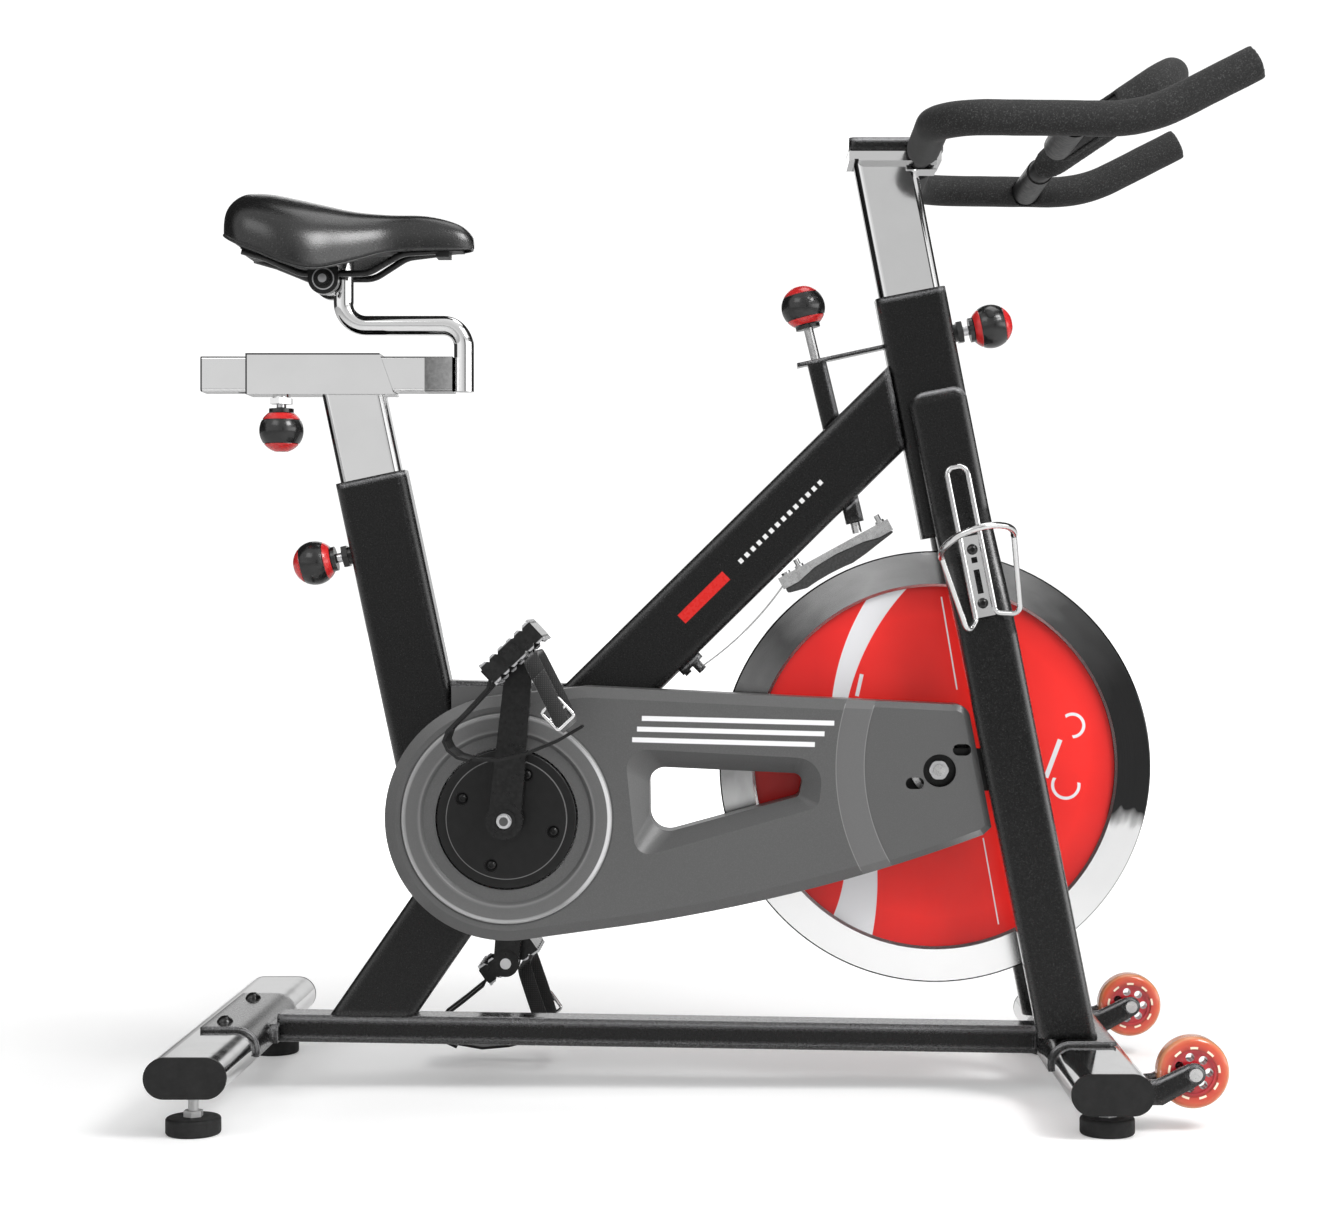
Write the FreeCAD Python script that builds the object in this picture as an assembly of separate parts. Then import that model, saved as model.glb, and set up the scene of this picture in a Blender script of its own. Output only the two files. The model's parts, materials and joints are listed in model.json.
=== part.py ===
import FreeCAD
import Part
import math
import os

# Indoor spin bike, millimetres. X points forward, Y to the rider's left, Z up.
# The origin is on the floor, midway between the rearmost and the foremost point.

V = FreeCAD.Vector

# ---- stabilisers, base beam and feet ----
STAB_LENGTH = 500.0
STAB_DEPTH = 80.0
STAB_HEIGHT = 40.0
STAB_WALL = 2.0
STAB_CAP = 4.0
REAR_STAB_X = -501.4
REAR_STAB_Z = 61.0
FRONT_STAB_X = 388.6
FRONT_STAB_Z = 45.0
FOOT_Y = 211.0
FOOT_PAD_R = 26.8
FOOT_PAD_H = 17.0
FOOT_STEM_R = 5.0
BEAM_WIDTH = 40.0
BEAM_HEIGHT = 29.0
BEAM_REAR = (-456.0, 68.6)
BEAM_FRONT = (344.0, 56.0)
BRACKET_HALF_Y = 108.0
BRACKET_T = 4.0
BRACKET_GAP = 0.05
BRACKET_BOLT_Y = 73.0

# ---- main tubes, profile depth in the side view and width across the bike ----
TUBE_DEPTH = 75.0
TUBE_WIDTH = 40.0
TUBE_CORNER = 9.0
TUBE_WALL = 2.5
CRANK_X = -209.2
CRANK_Z = 294.2
STAY_FOOT = (-355.5, 82.0)
SEAT_TILT = 12.0
SEAT_TOP = (-358.8, 648.8)
SEAT_TUBE_LENGTH = 440.0
HEAD_TILT = 11.0
HEAD_TOP = (210.6, 843.3)
HEAD_TUBE_LENGTH = 258.0
MAIN_TILT = 45.4
MAIN_THROUGH = (76.3, 604.0)
CROSS_LEFT = (-300.0, 416.5)
CROSS_RIGHT = (-120.0, 411.0)
CROSS_SIDE = 38.0
SHELL_R = 25.0
SHELL_HALF = 24.0

# ---- fork ----
FORK_TILT = 11.2
FORK_THROUGH = (289.0, 469.5)
FORK_TOP_Z = 738.0
FORK_FOOT_Z = 69.0
FORK_DEPTH = 60.0
FORK_WIDTH = 30.0
FORK_TOP_Y = 35.0
FORK_FOOT_Y = 70.0
FORK_END = 7.0
FORK_CORNER = 16.0
AXLE_PLATE_T = 6.0

# ---- flywheel ----
WHEEL_X = 236.8
WHEEL_Z = 343.3
WHEEL_R = 227.6
RIM_INNER_R = 190.0
RIM_HALF = 11.0
DISC_HALF = 4.0
AXLE_R = 6.0
AXLE_HALF = 68.0
RUNNING_FIT = 0.06
HUB_R = 20.0
SMALL_PULLEY_R = 28.0
BELT_NEAR_Y = -44.0
BELT_FAR_Y = -28.0
BELT_T = 3.0

# ---- crank and pedals ----
DRIVE_PULLEY_R = 84.0
CRANK_LENGTH = 175.0
CRANK_LEAN = 5.5
CRANK_INNER_Y = 88.0
CRANK_T = 16.0
SPINDLE_R = 10.0
COVER_R = 72.0
COVER_STEP_R = 62.0
COVER_SCREW_R = 50.0
PEDAL_HALF_LENGTH = 33.0
PEDAL_HALF_HEIGHT = 12.0
PEDAL_INNER_W = 16.0
PEDAL_OUTER_W = 98.0
PEDAL_AXLE_R = 6.0
RIGHT_PEDAL_ANGLE = -136.5
LEFT_PEDAL_ANGLE = -145.0
CLIP_T = 3.0
STRAP_T = 2.0
STRAP_WIDTH = 16.0

# ---- guard ----
GUARD_R = 126.5
GUARD_NEAR_Y = -75.0
GUARD_SPLIT_Y = -26.0
GUARD_BACK_Y = -22.5
GUARD_WALL = 2.5
GUARD_BEVEL = 11.0
GUARD_BEVEL_DEPTH = 6.0
# corners of the window as (x, z, corner radius), deep in the guard and at its near face
WINDOW_INNER = [(-63, 347, 16), (97, 339.5, 9), (92, 316, 6), (-62, 274, 20)]
WINDOW_OUTER = [(-88, 366.5, 20), (118, 355.5, 26), (112, 306, 12), (-76, 253, 16)]
WINDOW_DEPTH = 16.0

# ---- brake ----
ROD_TILT = -13.5
ROD_THROUGH = (111.0, 775.0)
ROD_R = 5.0
ROD_HOLE_R = 5.4
ROD_LENGTH = 222.4
BRAKE_KNOB_Z = 829.0
SHOE_START = (74.5, 536.0)
SHOE_END = (189.5, 599.0)
SHOE_HALF = 6.5
PAD_GAP = 4.0
LEAF_DROP = 12.5
LEAF_BACK = 172.0
LEAF_PIN_R = 2.5
LEAF_BOW = 6.0
LEAF_T = 1.6
LEAF_WIDTH = 18.0

# ---- seat ----
POST_DEPTH = 65.0
POST_WIDTH = 30.0
POST_CORNER = 8.0
POST_WALL = 2.0
SLIDE_SIDE = 37.0
SLIDE_Z = 757.2
SLIDE_REAR_X = -537.0
SLIDE_FRONT_X = -272.0
SLEEVE_SIDE = 43.0
SLEEVE_REAR_X = -489.0
STEM_R = 10.5
SADDLE_PIVOT = (-406.0, 856.0)
SHELL_HALF_Y = 13.0
SHELL_DROP = 0.8
# saddle sections: x, half width, lower edge, underside, top
SADDLE_STATIONS = [
    (-509, 42, 903, 905, 922), (-500, 66, 893, 897, 937), (-478, 84, 880, 890, 945),
    (-445, 87, 867, 889, 943), (-410, 78, 864, 889, 935), (-370, 52, 874, 890, 927),
    (-330, 32, 886, 892, 924), (-290, 24, 890, 893, 921), (-262, 17, 891, 893.5, 913),
    (-251, 9, 893.5, 895, 904)]

# ---- handlebar ----
BAR_X = 222.0
BAR_Z = 989.0
BAR_R = 12.7
FOAM_R = 17.5
GRIP_Y = 219.0
GRIP_Z = 986.5
GRIP_RISE = 27.0
GRIP_RISE_X = 423.8
GRIP_END_X = 533.4
LOOP_X = 358.0
LOOP_Z = 986.0
LOOP_HALF = 50.0
LOOP_APEX = (487.0, 1073.5)

# ---- knobs ----
KNOB_R = 23.2
KNOB_REACH = 40.5
PULL_PIN = 21.9
PIN_R = 5.0
PIN_HOLE_R = 7.0
SEAT_PIN_DROP = 76.0
HEAD_PIN_DROP = 50.0
SLIDE_PIN_X = -455.0
SLIDE_KNOB_Z = 698.5
SLIDE_PIN = 16.0

# ---- transport wheels ----
ROLLER_X = 474.0
ROLLER_Z = 58.0
ROLLER_Y = 196.0
ROLLER_R = 35.3
ROLLER_HALF = 12.0
ROLLER_HUB_R = 23.5

# ---- bottle cage ----
CAGE_Y = -(FORK_FOOT_Y + FORK_WIDTH / 2)
CAGE_WIRE_R = 2.8
CAGE_PLATE_T = 3.0
CAGE_PLATE = (-10.0, 74.0)
CAGE_BOLTS = (4.0, 60.0)

ALONG_Y = V(0, 1, 0)


def save(name, shapes):
    """Write one node: a single solid, or several separate ones."""
    if not isinstance(shapes, list):
        shapes = [shapes]
    solids = []
    for shape in shapes:
        solids.extend(shape.Solids)
    body = solids[0] if len(solids) == 1 else Part.makeCompound(solids)
    body.exportStep("parts/" + name + ".step")
    bb = body.BoundBox
    flag = "" if body.isValid() else "  INVALID"
    print("%-22s %d solids  x %.1f %.1f  y %.1f %.1f  z %.1f %.1f%s" % (
        name, len(solids), bb.XMin, bb.XMax, bb.YMin, bb.YMax, bb.ZMin, bb.ZMax, flag))


def box(x0, x1, y0, y1, z0, z1):
    return Part.makeBox(x1 - x0, y1 - y0, z1 - z0, V(x0, y0, z0))


def rod(start, end, radius):
    """Round bar between two points."""
    axis = end - start
    return Part.makeCylinder(radius, axis.Length, start, axis)


def ring(start, end, radius, bore):
    return rod(start, end, radius).cut(rod(start, end, bore))


def cross_disc(x, z, y0, y1, radius):
    """Disc or pin whose axis runs across the bike."""
    return Part.makeCylinder(radius, y1 - y0, V(x, y0, z), ALONG_Y)


def prism(outline, y0, y1):
    """Solid with a straight-sided side-view outline."""
    points = [V(x, y0, z) for x, z in outline]
    wire = Part.makePolygon(points + [points[0]])
    return Part.Face(wire).extrude(V(0, y1 - y0, 0))


def lean(angle):
    """Unit vector in the side view, tilted from the vertical towards +X."""
    a = math.radians(angle)
    return V(math.sin(a), 0, math.cos(a))


def rounded_outline(centre, ex, ey, half_x, half_y, corner):
    """Rounded rectangle around a centre, in the plane of ex and ey."""
    def at(px, py):
        return centre + ex * px + ey * py
    edges = []
    k = corner * (1.0 - math.sqrt(0.5))
    sides = [(1, 1), (-1, 1), (-1, -1), (1, -1)]
    previous = at(half_x, -half_y + corner)
    for sx, sy in sides:
        if sx * sy > 0:
            first = at(sx * half_x, sy * (half_y - corner))
            last = at(sx * (half_x - corner), sy * half_y)
        else:
            first = at(sx * (half_x - corner), sy * half_y)
            last = at(sx * half_x, sy * (half_y - corner))
        middle = at(sx * (half_x - k), sy * (half_y - k))
        if (first - previous).Length > 1e-6:
            edges.append(Part.LineSegment(previous, first).toShape())
        edges.append(Part.Arc(first, middle, last).toShape())
        previous = last
    return Part.Wire(Part.__sortEdges__(edges))


def bar(start, end, depth, width, corner, wall=0.0):
    """Rounded rectangular tube between two points of the side view."""
    axis = end - start
    unit = V(axis)
    unit.normalize()
    ex = unit.cross(ALONG_Y)
    outer = Part.Face(rounded_outline(start, ex, ALONG_Y, depth / 2, width / 2, corner))
    solid = outer.extrude(axis)
    if wall > 0:
        inner = Part.Face(rounded_outline(start, ex, ALONG_Y, depth / 2 - wall,
                                          width / 2 - wall, corner - wall))
        solid = solid.cut(inner.extrude(axis))
    return solid


def side(point, y=0.0):
    return V(point[0], y, point[1])


def route(points, radii):
    """Wire of straight runs joined by tangent arcs; one radius per inner point."""
    edges = []
    last = points[0]
    for i in range(1, len(points) - 1):
        before = points[i - 1] - points[i]
        after = points[i + 1] - points[i]
        before.normalize()
        after.normalize()
        turn = math.pi - before.getAngle(after)
        reach = radii[i - 1] * math.tan(turn / 2)
        start = points[i] + before * reach
        end = points[i] + after * reach
        inward = before + after
        inward.normalize()
        centre = points[i] + inward * (radii[i - 1] / math.cos(turn / 2))
        middle = centre - inward * radii[i - 1]
        if (start - last).Length > 1e-6:
            edges.append(Part.LineSegment(last, start).toShape())
        edges.append(Part.Arc(start, middle, end).toShape())
        last = end
    if (points[-1] - last).Length > 1e-6:
        edges.append(Part.LineSegment(last, points[-1]).toShape())
    return Part.Wire(edges)


def sweep(wire, radius, bore=0.0):
    """Round bar or tube along a wire."""
    edge = wire.OrderedEdges[0]
    start = edge.valueAt(edge.FirstParameter)
    direction = edge.tangentAt(edge.FirstParameter)
    profile = Part.Wire(Part.makeCircle(radius, start, direction))
    solid = wire.makePipeShell([profile], True, False)
    if bore > 0:
        hole = Part.Wire(Part.makeCircle(bore, start, direction))
        solid = solid.cut(wire.makePipeShell([hole], True, False))
    return solid


def hex_nut(start, end, across_flats, bore=0.0):
    axis = end - start
    unit = V(axis)
    unit.normalize()
    helper = V(0, 0, 1) if abs(unit.z) < 0.9 else V(1, 0, 0)
    ex = unit.cross(helper)
    ex.normalize()
    ey = unit.cross(ex)
    corner = across_flats / math.sqrt(3.0)
    points = []
    for i in range(7):
        a = math.radians(60 * i)
        points.append(start + ex * (corner * math.cos(a)) + ey * (corner * math.sin(a)))
    nut = Part.Face(Part.makePolygon(points)).extrude(axis)
    if bore > 0:
        nut = nut.cut(rod(start, end, bore))
    return nut


def dome_bolt(seat, outward, radius, height):
    """Round-headed bolt standing on a seat point, with a hex socket."""
    up = V(outward)
    up.normalize()
    ball_r = (radius * radius + height * height) / (2 * height)
    ball = Part.makeSphere(ball_r, seat - up * (ball_r - height))
    head = ball.common(rod(seat, seat + up * (height + 1), radius))
    socket = hex_nut(seat + up * (height * 0.4), seat + up * (height + 1), radius * 0.8)
    return head.cut(socket)


# ---------------------------------------------------------------- base

def stabiliser_tube(x, z):
    half = STAB_LENGTH / 2 - STAB_CAP
    centre = V(x, -half, z)
    outer = rounded_outline(centre, V(1, 0, 0), V(0, 0, 1), STAB_DEPTH / 2,
                            STAB_HEIGHT / 2, STAB_HEIGHT / 2 - 0.01)
    inner = rounded_outline(centre, V(1, 0, 0), V(0, 0, 1), STAB_DEPTH / 2 - STAB_WALL,
                            STAB_HEIGHT / 2 - STAB_WALL, STAB_HEIGHT / 2 - STAB_WALL - 0.01)
    run = V(0, 2 * half, 0)
    tube = Part.Face(outer).extrude(run).cut(Part.Face(inner).extrude(run))
    stem_hole = FOOT_STEM_R + 0.5
    for y in (-FOOT_Y, FOOT_Y):
        hole = Part.makeCylinder(stem_hole, STAB_HEIGHT / 2, V(x, y, z - STAB_HEIGHT / 2 - 1))
        tube = tube.cut(hole)
    return tube


def stabiliser_cap(x, z, sign):
    """End cap: a flange over the tube end and a plug inside it."""
    half = STAB_LENGTH / 2
    outer = rounded_outline(V(x, sign * half, z), V(1, 0, 0), V(0, 0, 1), STAB_DEPTH / 2,
                            STAB_HEIGHT / 2, STAB_HEIGHT / 2 - 0.01)
    flange = Part.Face(outer).extrude(V(0, -sign * STAB_CAP, 0))
    gap = STAB_WALL + 0.05
    inner = rounded_outline(V(x, sign * (half - STAB_CAP), z), V(1, 0, 0), V(0, 0, 1),
                            STAB_DEPTH / 2 - gap, STAB_HEIGHT / 2 - gap,
                            STAB_HEIGHT / 2 - gap - 0.01)
    plug = Part.Face(inner).extrude(V(0, -sign * 14, 0))
    return flange.fuse(plug)


def levelling_foot(x, z, y):
    """Rubber pad with a threaded stem that stands up into the stabiliser."""
    pad = Part.makeCylinder(FOOT_PAD_R, FOOT_PAD_H, V(x, y, 0))
    rims = [e for e in pad.Edges if abs(e.BoundBox.ZLength) < 0.01]
    pad = pad.makeFillet(3.0, rims)
    bottom = z - STAB_HEIGHT / 2
    stem = Part.makeCylinder(FOOT_STEM_R, bottom + 14 - FOOT_PAD_H, V(x, y, FOOT_PAD_H))
    free = bottom - FOOT_PAD_H
    nut_h = min(6.0, free - 1.0)
    nut = hex_nut(V(x, y, FOOT_PAD_H), V(x, y, FOOT_PAD_H + nut_h), 17.0, FOOT_STEM_R)
    return [pad, stem.fuse(nut)]


def base_beam():
    """Long low tube between the two stabilisers."""
    beam = bar(side(BEAM_REAR), side(BEAM_FRONT), BEAM_HEIGHT, BEAM_WIDTH, 4.0, 2.0)
    beam = beam.cut(rear_bracket())
    return max(beam.Solids, key=lambda s: s.Volume)


def rear_bracket():
    """Plate over the rear stabiliser that curls down around its front edge."""
    x_bend = REAR_STAB_X + STAB_DEPTH / 2 - STAB_HEIGHT / 2
    z = REAR_STAB_Z
    inner = STAB_HEIGHT / 2 + BRACKET_GAP
    outer = inner + BRACKET_T
    y0 = -BRACKET_HALF_Y
    run = 2 * BRACKET_HALF_Y
    flat = box(x_bend - 36, x_bend, y0, -y0, z + inner, z + outer)
    curl = Part.makeCylinder(outer, run, V(x_bend, y0, z), ALONG_Y)
    curl = curl.cut(Part.makeCylinder(inner, run, V(x_bend, y0, z), ALONG_Y))
    curl = curl.common(box(x_bend, x_bend + outer, y0, -y0, z - 6, z + outer))
    gusset = box(x_bend + inner, x_bend + outer + 4, -32, 32, z - 6, z + 14)
    gusset = gusset.cut(Part.makeCylinder(inner, run, V(x_bend, y0, z), ALONG_Y))
    return flat.fuse([curl, gusset]).removeSplitter()


def front_bracket():
    """Plate over the front stabiliser that curls down around its rear edge."""
    x_bend = FRONT_STAB_X - STAB_DEPTH / 2 + STAB_HEIGHT / 2
    z = FRONT_STAB_Z
    inner = STAB_HEIGHT / 2 + BRACKET_GAP
    outer = inner + BRACKET_T
    half_y = BRACKET_HALF_Y - 6
    run = 2 * half_y
    flat = box(x_bend, x_bend + 46, -half_y, half_y, z + inner, z + outer)
    curl = Part.makeCylinder(outer, run, V(x_bend, -half_y, z), ALONG_Y)
    curl = curl.cut(Part.makeCylinder(inner, run, V(x_bend, -half_y, z), ALONG_Y))
    curl = curl.common(box(x_bend - outer, x_bend, -half_y, half_y, z - 6, z + outer))
    return flat.fuse(curl).removeSplitter()


def bracket_bolts():
    bolts = []
    lift = STAB_HEIGHT / 2 + BRACKET_T + BRACKET_GAP
    for y in (-BRACKET_BOLT_Y, BRACKET_BOLT_Y):
        seat = V(REAR_STAB_X + 2, y, REAR_STAB_Z + lift)
        bolts.append(dome_bolt(seat, V(0, 0, 1), 8.5, 6.5))
    for y in (-20.0, 20.0):
        seat = V(FRONT_STAB_X + 8, y, FRONT_STAB_Z + lift)
        bolts.append(dome_bolt(seat, V(0, 0, 1), 8.5, 6.5))
    return bolts


# ---------------------------------------------------------------- frame tubes

def crank_axis_cylinder(radius):
    return cross_disc(CRANK_X, CRANK_Z, -60, 60, radius)


def beam_top_cutter():
    """Everything below the top face of the base beam."""
    axis = side(BEAM_FRONT) - side(BEAM_REAR)
    axis.normalize()
    normal = V(-axis.z, 0, axis.x)
    start = side(BEAM_REAR) + normal * (BEAM_HEIGHT / 2) - axis * 200
    end = side(BEAM_FRONT) + normal * (BEAM_HEIGHT / 2) + axis * 200
    low_start = start - normal * 120
    low_end = end - normal * 120
    outline = [(start.x, start.z), (end.x, end.z), (low_end.x, low_end.z),
               (low_start.x, low_start.z)]
    return prism(outline, -60, 60)


def stay_direction():
    d = V(CRANK_X, 0, CRANK_Z) - side(STAY_FOOT)
    d.normalize()
    return d


def rear_stay():
    """Tube from the base beam up to the crank housing."""
    d = stay_direction()
    start = side(STAY_FOOT) - d * 40
    end = V(CRANK_X, 0, CRANK_Z)
    tube = bar(start, end, TUBE_DEPTH, TUBE_WIDTH, TUBE_CORNER, TUBE_WALL)
    tube = tube.cut(beam_top_cutter())
    return tube.cut(crank_axis_cylinder(SHELL_R))


def seat_axis():
    return lean(-SEAT_TILT)


def seat_tube():
    """Tube for the seat post; its foot is mitred to the rear stay."""
    up = seat_axis()
    top = side(SEAT_TOP)
    tube = bar(top - up * SEAT_TUBE_LENGTH, top, TUBE_DEPTH, TUBE_WIDTH, TUBE_CORNER, TUBE_WALL)
    d = stay_direction()
    e = V(-d.z, 0, d.x)
    face = side(STAY_FOOT) + e * (TUBE_DEPTH / 2)
    far = face - e * 260
    outline = []
    for corner in (face - d * 150, face + d * 400, far + d * 400, far - d * 150):
        outline.append((corner.x, corner.z))
    tube = tube.cut(prism(outline, -60, 60))
    pin = side(SEAT_TOP) - up * SEAT_PIN_DROP
    back = V(-up.z, 0, up.x)
    tube = tube.cut(rod(pin, pin + back * 60, PIN_HOLE_R))
    return max(tube.Solids, key=lambda s: s.Volume)


def main_axis():
    return lean(MAIN_TILT)


def main_tube():
    """Diagonal tube from the crank housing to the head tube."""
    up = main_axis()
    through = side(MAIN_THROUGH)
    start = through - up * 420
    end = through + up * 260
    tube = bar(start, end, TUBE_DEPTH, TUBE_WIDTH, TUBE_CORNER, TUBE_WALL)
    head = lean(-HEAD_TILT)
    ahead = V(head.z, 0, -head.x)
    face = side(HEAD_TOP) - ahead * (TUBE_DEPTH / 2)
    outline = []
    for corner in (face + head * 300, face - head * 600, face - head * 600 + ahead * 400,
                   face + head * 300 + ahead * 400):
        outline.append((corner.x, corner.z))
    tube = tube.cut(prism(outline, -60, 60))
    tube = tube.cut(crank_axis_cylinder(SHELL_R))
    d = stay_direction()
    e = V(d.z, 0, -d.x)
    foot = side(STAY_FOOT)
    outline = []
    for corner in (foot - d * 100 + e * (TUBE_DEPTH / 2), foot + d * 400 + e * (TUBE_DEPTH / 2),
                   foot + d * 400 - e * 300, foot - d * 100 - e * 300):
        outline.append((corner.x, corner.z))
    low = prism(outline, -60, 60).common(box(-600, 200, -60, 60, 0, CRANK_Z))
    tube = tube.cut(low)
    tube = tube.cut(rod(rod_point(560), rod_point(800), ROD_HOLE_R))
    return max(tube.Solids, key=lambda s: s.Volume)


def cross_tube():
    """Short level tube between the seat tube and the main tube."""
    tube = bar(side(CROSS_LEFT), side(CROSS_RIGHT), CROSS_SIDE, CROSS_SIDE, 6.0, 2.0)
    up = seat_axis()
    top = side(SEAT_TOP)
    seat_block = bar(top - up * SEAT_TUBE_LENGTH, top, TUBE_DEPTH, 60, 1.0)
    along = main_axis()
    through = side(MAIN_THROUGH)
    main_block = bar(through - along * 420, through, TUBE_DEPTH, 60, 1.0)
    tube = tube.cut(seat_block).cut(main_block)
    return max(tube.Solids, key=lambda s: s.Volume)


def bottom_bracket():
    """Crank housing with its two bearing cups."""
    shell = cross_disc(CRANK_X, CRANK_Z, -SHELL_HALF, SHELL_HALF, SHELL_R)
    shell = shell.cut(crank_axis_cylinder(SHELL_R - 4))
    cups = []
    for y0 in (-SHELL_HALF, SHELL_HALF - 10):
        cup = cross_disc(CRANK_X, CRANK_Z, y0, y0 + 10, SHELL_R - 4)
        cups.append(cup.cut(crank_axis_cylinder(SPINDLE_R + RUNNING_FIT)))
    return [shell] + cups


def head_axis():
    return lean(-HEAD_TILT)


def head_tube():
    up = head_axis()
    top = side(HEAD_TOP)
    tube = bar(top - up * HEAD_TUBE_LENGTH, top, TUBE_DEPTH, TUBE_WIDTH, TUBE_CORNER, TUBE_WALL)
    pin = top - up * HEAD_PIN_DROP
    ahead = V(up.z, 0, -up.x)
    return tube.cut(rod(pin, pin + ahead * 60, PIN_HOLE_R))


def tube_liners():
    """Plastic sleeves that guide the seat post and the handlebar post."""
    liners = []
    for up, top in ((seat_axis(), SEAT_TOP), (head_axis(), HEAD_TOP)):
        start = side(top) - up * 40
        outer = bar(start, side(top), TUBE_DEPTH - 2 * TUBE_WALL - 0.1,
                    TUBE_WIDTH - 2 * TUBE_WALL - 0.1, TUBE_CORNER - TUBE_WALL)
        hole = bar(start, side(top), POST_DEPTH + 0.7, POST_WIDTH + 0.7, POST_CORNER)
        liners.append(outer.cut(hole))
    return liners


def fork_centre(z, y):
    k = math.tan(math.radians(FORK_TILT))
    return V(FORK_THROUGH[0] + (FORK_THROUGH[1] - z) * k, y, z)


def fork_loft(sign, inset, top_z):
    """Leg skin: beside the head tube at the top, then out around the flywheel."""
    stations = [(top_z, 0.0), (610, 0.0), (590, 0.08), (560, 0.34), (530, 0.66),
                (500, 0.92), (480, 1.0), (FORK_FOOT_Z - 12, 1.0)]
    axis = lean(-FORK_TILT)
    ex = axis.cross(ALONG_Y)
    wires = []
    for z, share in stations:
        y = sign * (FORK_TOP_Y + (FORK_FOOT_Y - FORK_TOP_Y) * share)
        wires.append(rounded_outline(fork_centre(z, y), ex, ALONG_Y, FORK_DEPTH / 2 - inset,
                                     FORK_WIDTH / 2 - inset, 10.0 - inset))
    return Part.makeLoft(wires, True, True)


def fork_leg(sign):
    """Hollow leg with a closed, round-cornered top end."""
    leg = fork_loft(sign, 0.0, FORK_TOP_Z).cut(fork_loft(sign, TUBE_WALL, FORK_TOP_Z - FORK_END))
    ex = lean(-FORK_TILT).cross(ALONG_Y)
    ez = lean(-FORK_TILT)
    half_high = 400.0
    middle = fork_centre(FORK_TOP_Z, 0) - ez * half_high + V(0, -200, 0)
    outline = rounded_outline(middle, ex, ez, FORK_DEPTH / 2 + 0.5, half_high, FORK_CORNER)
    leg = leg.common(Part.Face(outline).extrude(V(0, 400, 0)))
    floor = FRONT_STAB_Z + STAB_HEIGHT / 2 + BRACKET_T + BRACKET_GAP
    leg = leg.cut(box(100, 600, -200, 200, -50, floor))
    return max(leg.Solids, key=lambda s: s.Volume)


def axle_plates():
    """Plates on the inner faces of the fork legs that carry the flywheel axle."""
    plates = []
    inner = FORK_FOOT_Y - FORK_WIDTH / 2
    front = fork_centre(WHEEL_Z, 0).x + 8
    for sign in (-1, 1):
        y_out = sign * inner
        y_in = sign * (inner - AXLE_PLATE_T)
        y0 = min(y_out, y_in)
        y1 = max(y_out, y_in)
        plate = box(WHEEL_X, front, y0, y1, WHEEL_Z - 22, WHEEL_Z + 22)
        plate = plate.fuse(cross_disc(WHEEL_X, WHEEL_Z, y0, y1, 22)).removeSplitter()
        plate = plate.cut(cross_disc(WHEEL_X, WHEEL_Z, y0 - 1, y1 + 1, AXLE_R + 0.02))
        plates.append(plate)
    return plates


# ---------------------------------------------------------------- flywheel

def flywheel_rim():
    rim = cross_disc(WHEEL_X, WHEEL_Z, -RIM_HALF, RIM_HALF, WHEEL_R)
    edges = [e for e in rim.Edges if e.BoundBox.YLength < 0.01]
    rim = rim.makeChamfer(1.5, edges)
    rim = rim.cut(cross_disc(WHEEL_X, WHEEL_Z, -20, 20, RIM_INNER_R))
    for sign in (-1, 1):
        groove = Part.makeCone(RIM_INNER_R + 3, RIM_INNER_R, 3,
                               V(WHEEL_X, sign * RIM_HALF, WHEEL_Z), V(0, -sign, 0))
        rim = rim.cut(groove)
    return rim


def flywheel_disc():
    disc = cross_disc(WHEEL_X, WHEEL_Z, -DISC_HALF, DISC_HALF, RIM_INNER_R)
    disc = disc.fuse(cross_disc(WHEEL_X, WHEEL_Z, -DISC_HALF - 6, DISC_HALF + 6, 38))
    return disc.cut(cross_disc(WHEEL_X, WHEEL_Z, -60, 60, HUB_R))


def flywheel_hub():
    """Hub with its belt pulley, bored for the fixed axle."""
    hub = cross_disc(WHEEL_X, WHEEL_Z, BELT_FAR_Y, 24, HUB_R)
    pulley = cross_disc(WHEEL_X, WHEEL_Z, BELT_NEAR_Y, BELT_FAR_Y, SMALL_PULLEY_R)
    hub = hub.fuse(pulley)
    return hub.cut(cross_disc(WHEEL_X, WHEEL_Z, -60, 60, AXLE_R + RUNNING_FIT))


def flywheel_axle():
    return cross_disc(WHEEL_X, WHEEL_Z, -AXLE_HALF, AXLE_HALF, AXLE_R)


def axle_nuts():
    nuts = []
    inner = FORK_FOOT_Y - FORK_WIDTH / 2
    for sign in (-1, 1):
        start = V(WHEEL_X, sign * inner, WHEEL_Z)
        end = V(WHEEL_X, sign * (inner + 9), WHEEL_Z)
        nuts.append(hex_nut(start, end, 19.0, AXLE_R + 0.02))
    return nuts


# ---------------------------------------------------------------- drive

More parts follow.
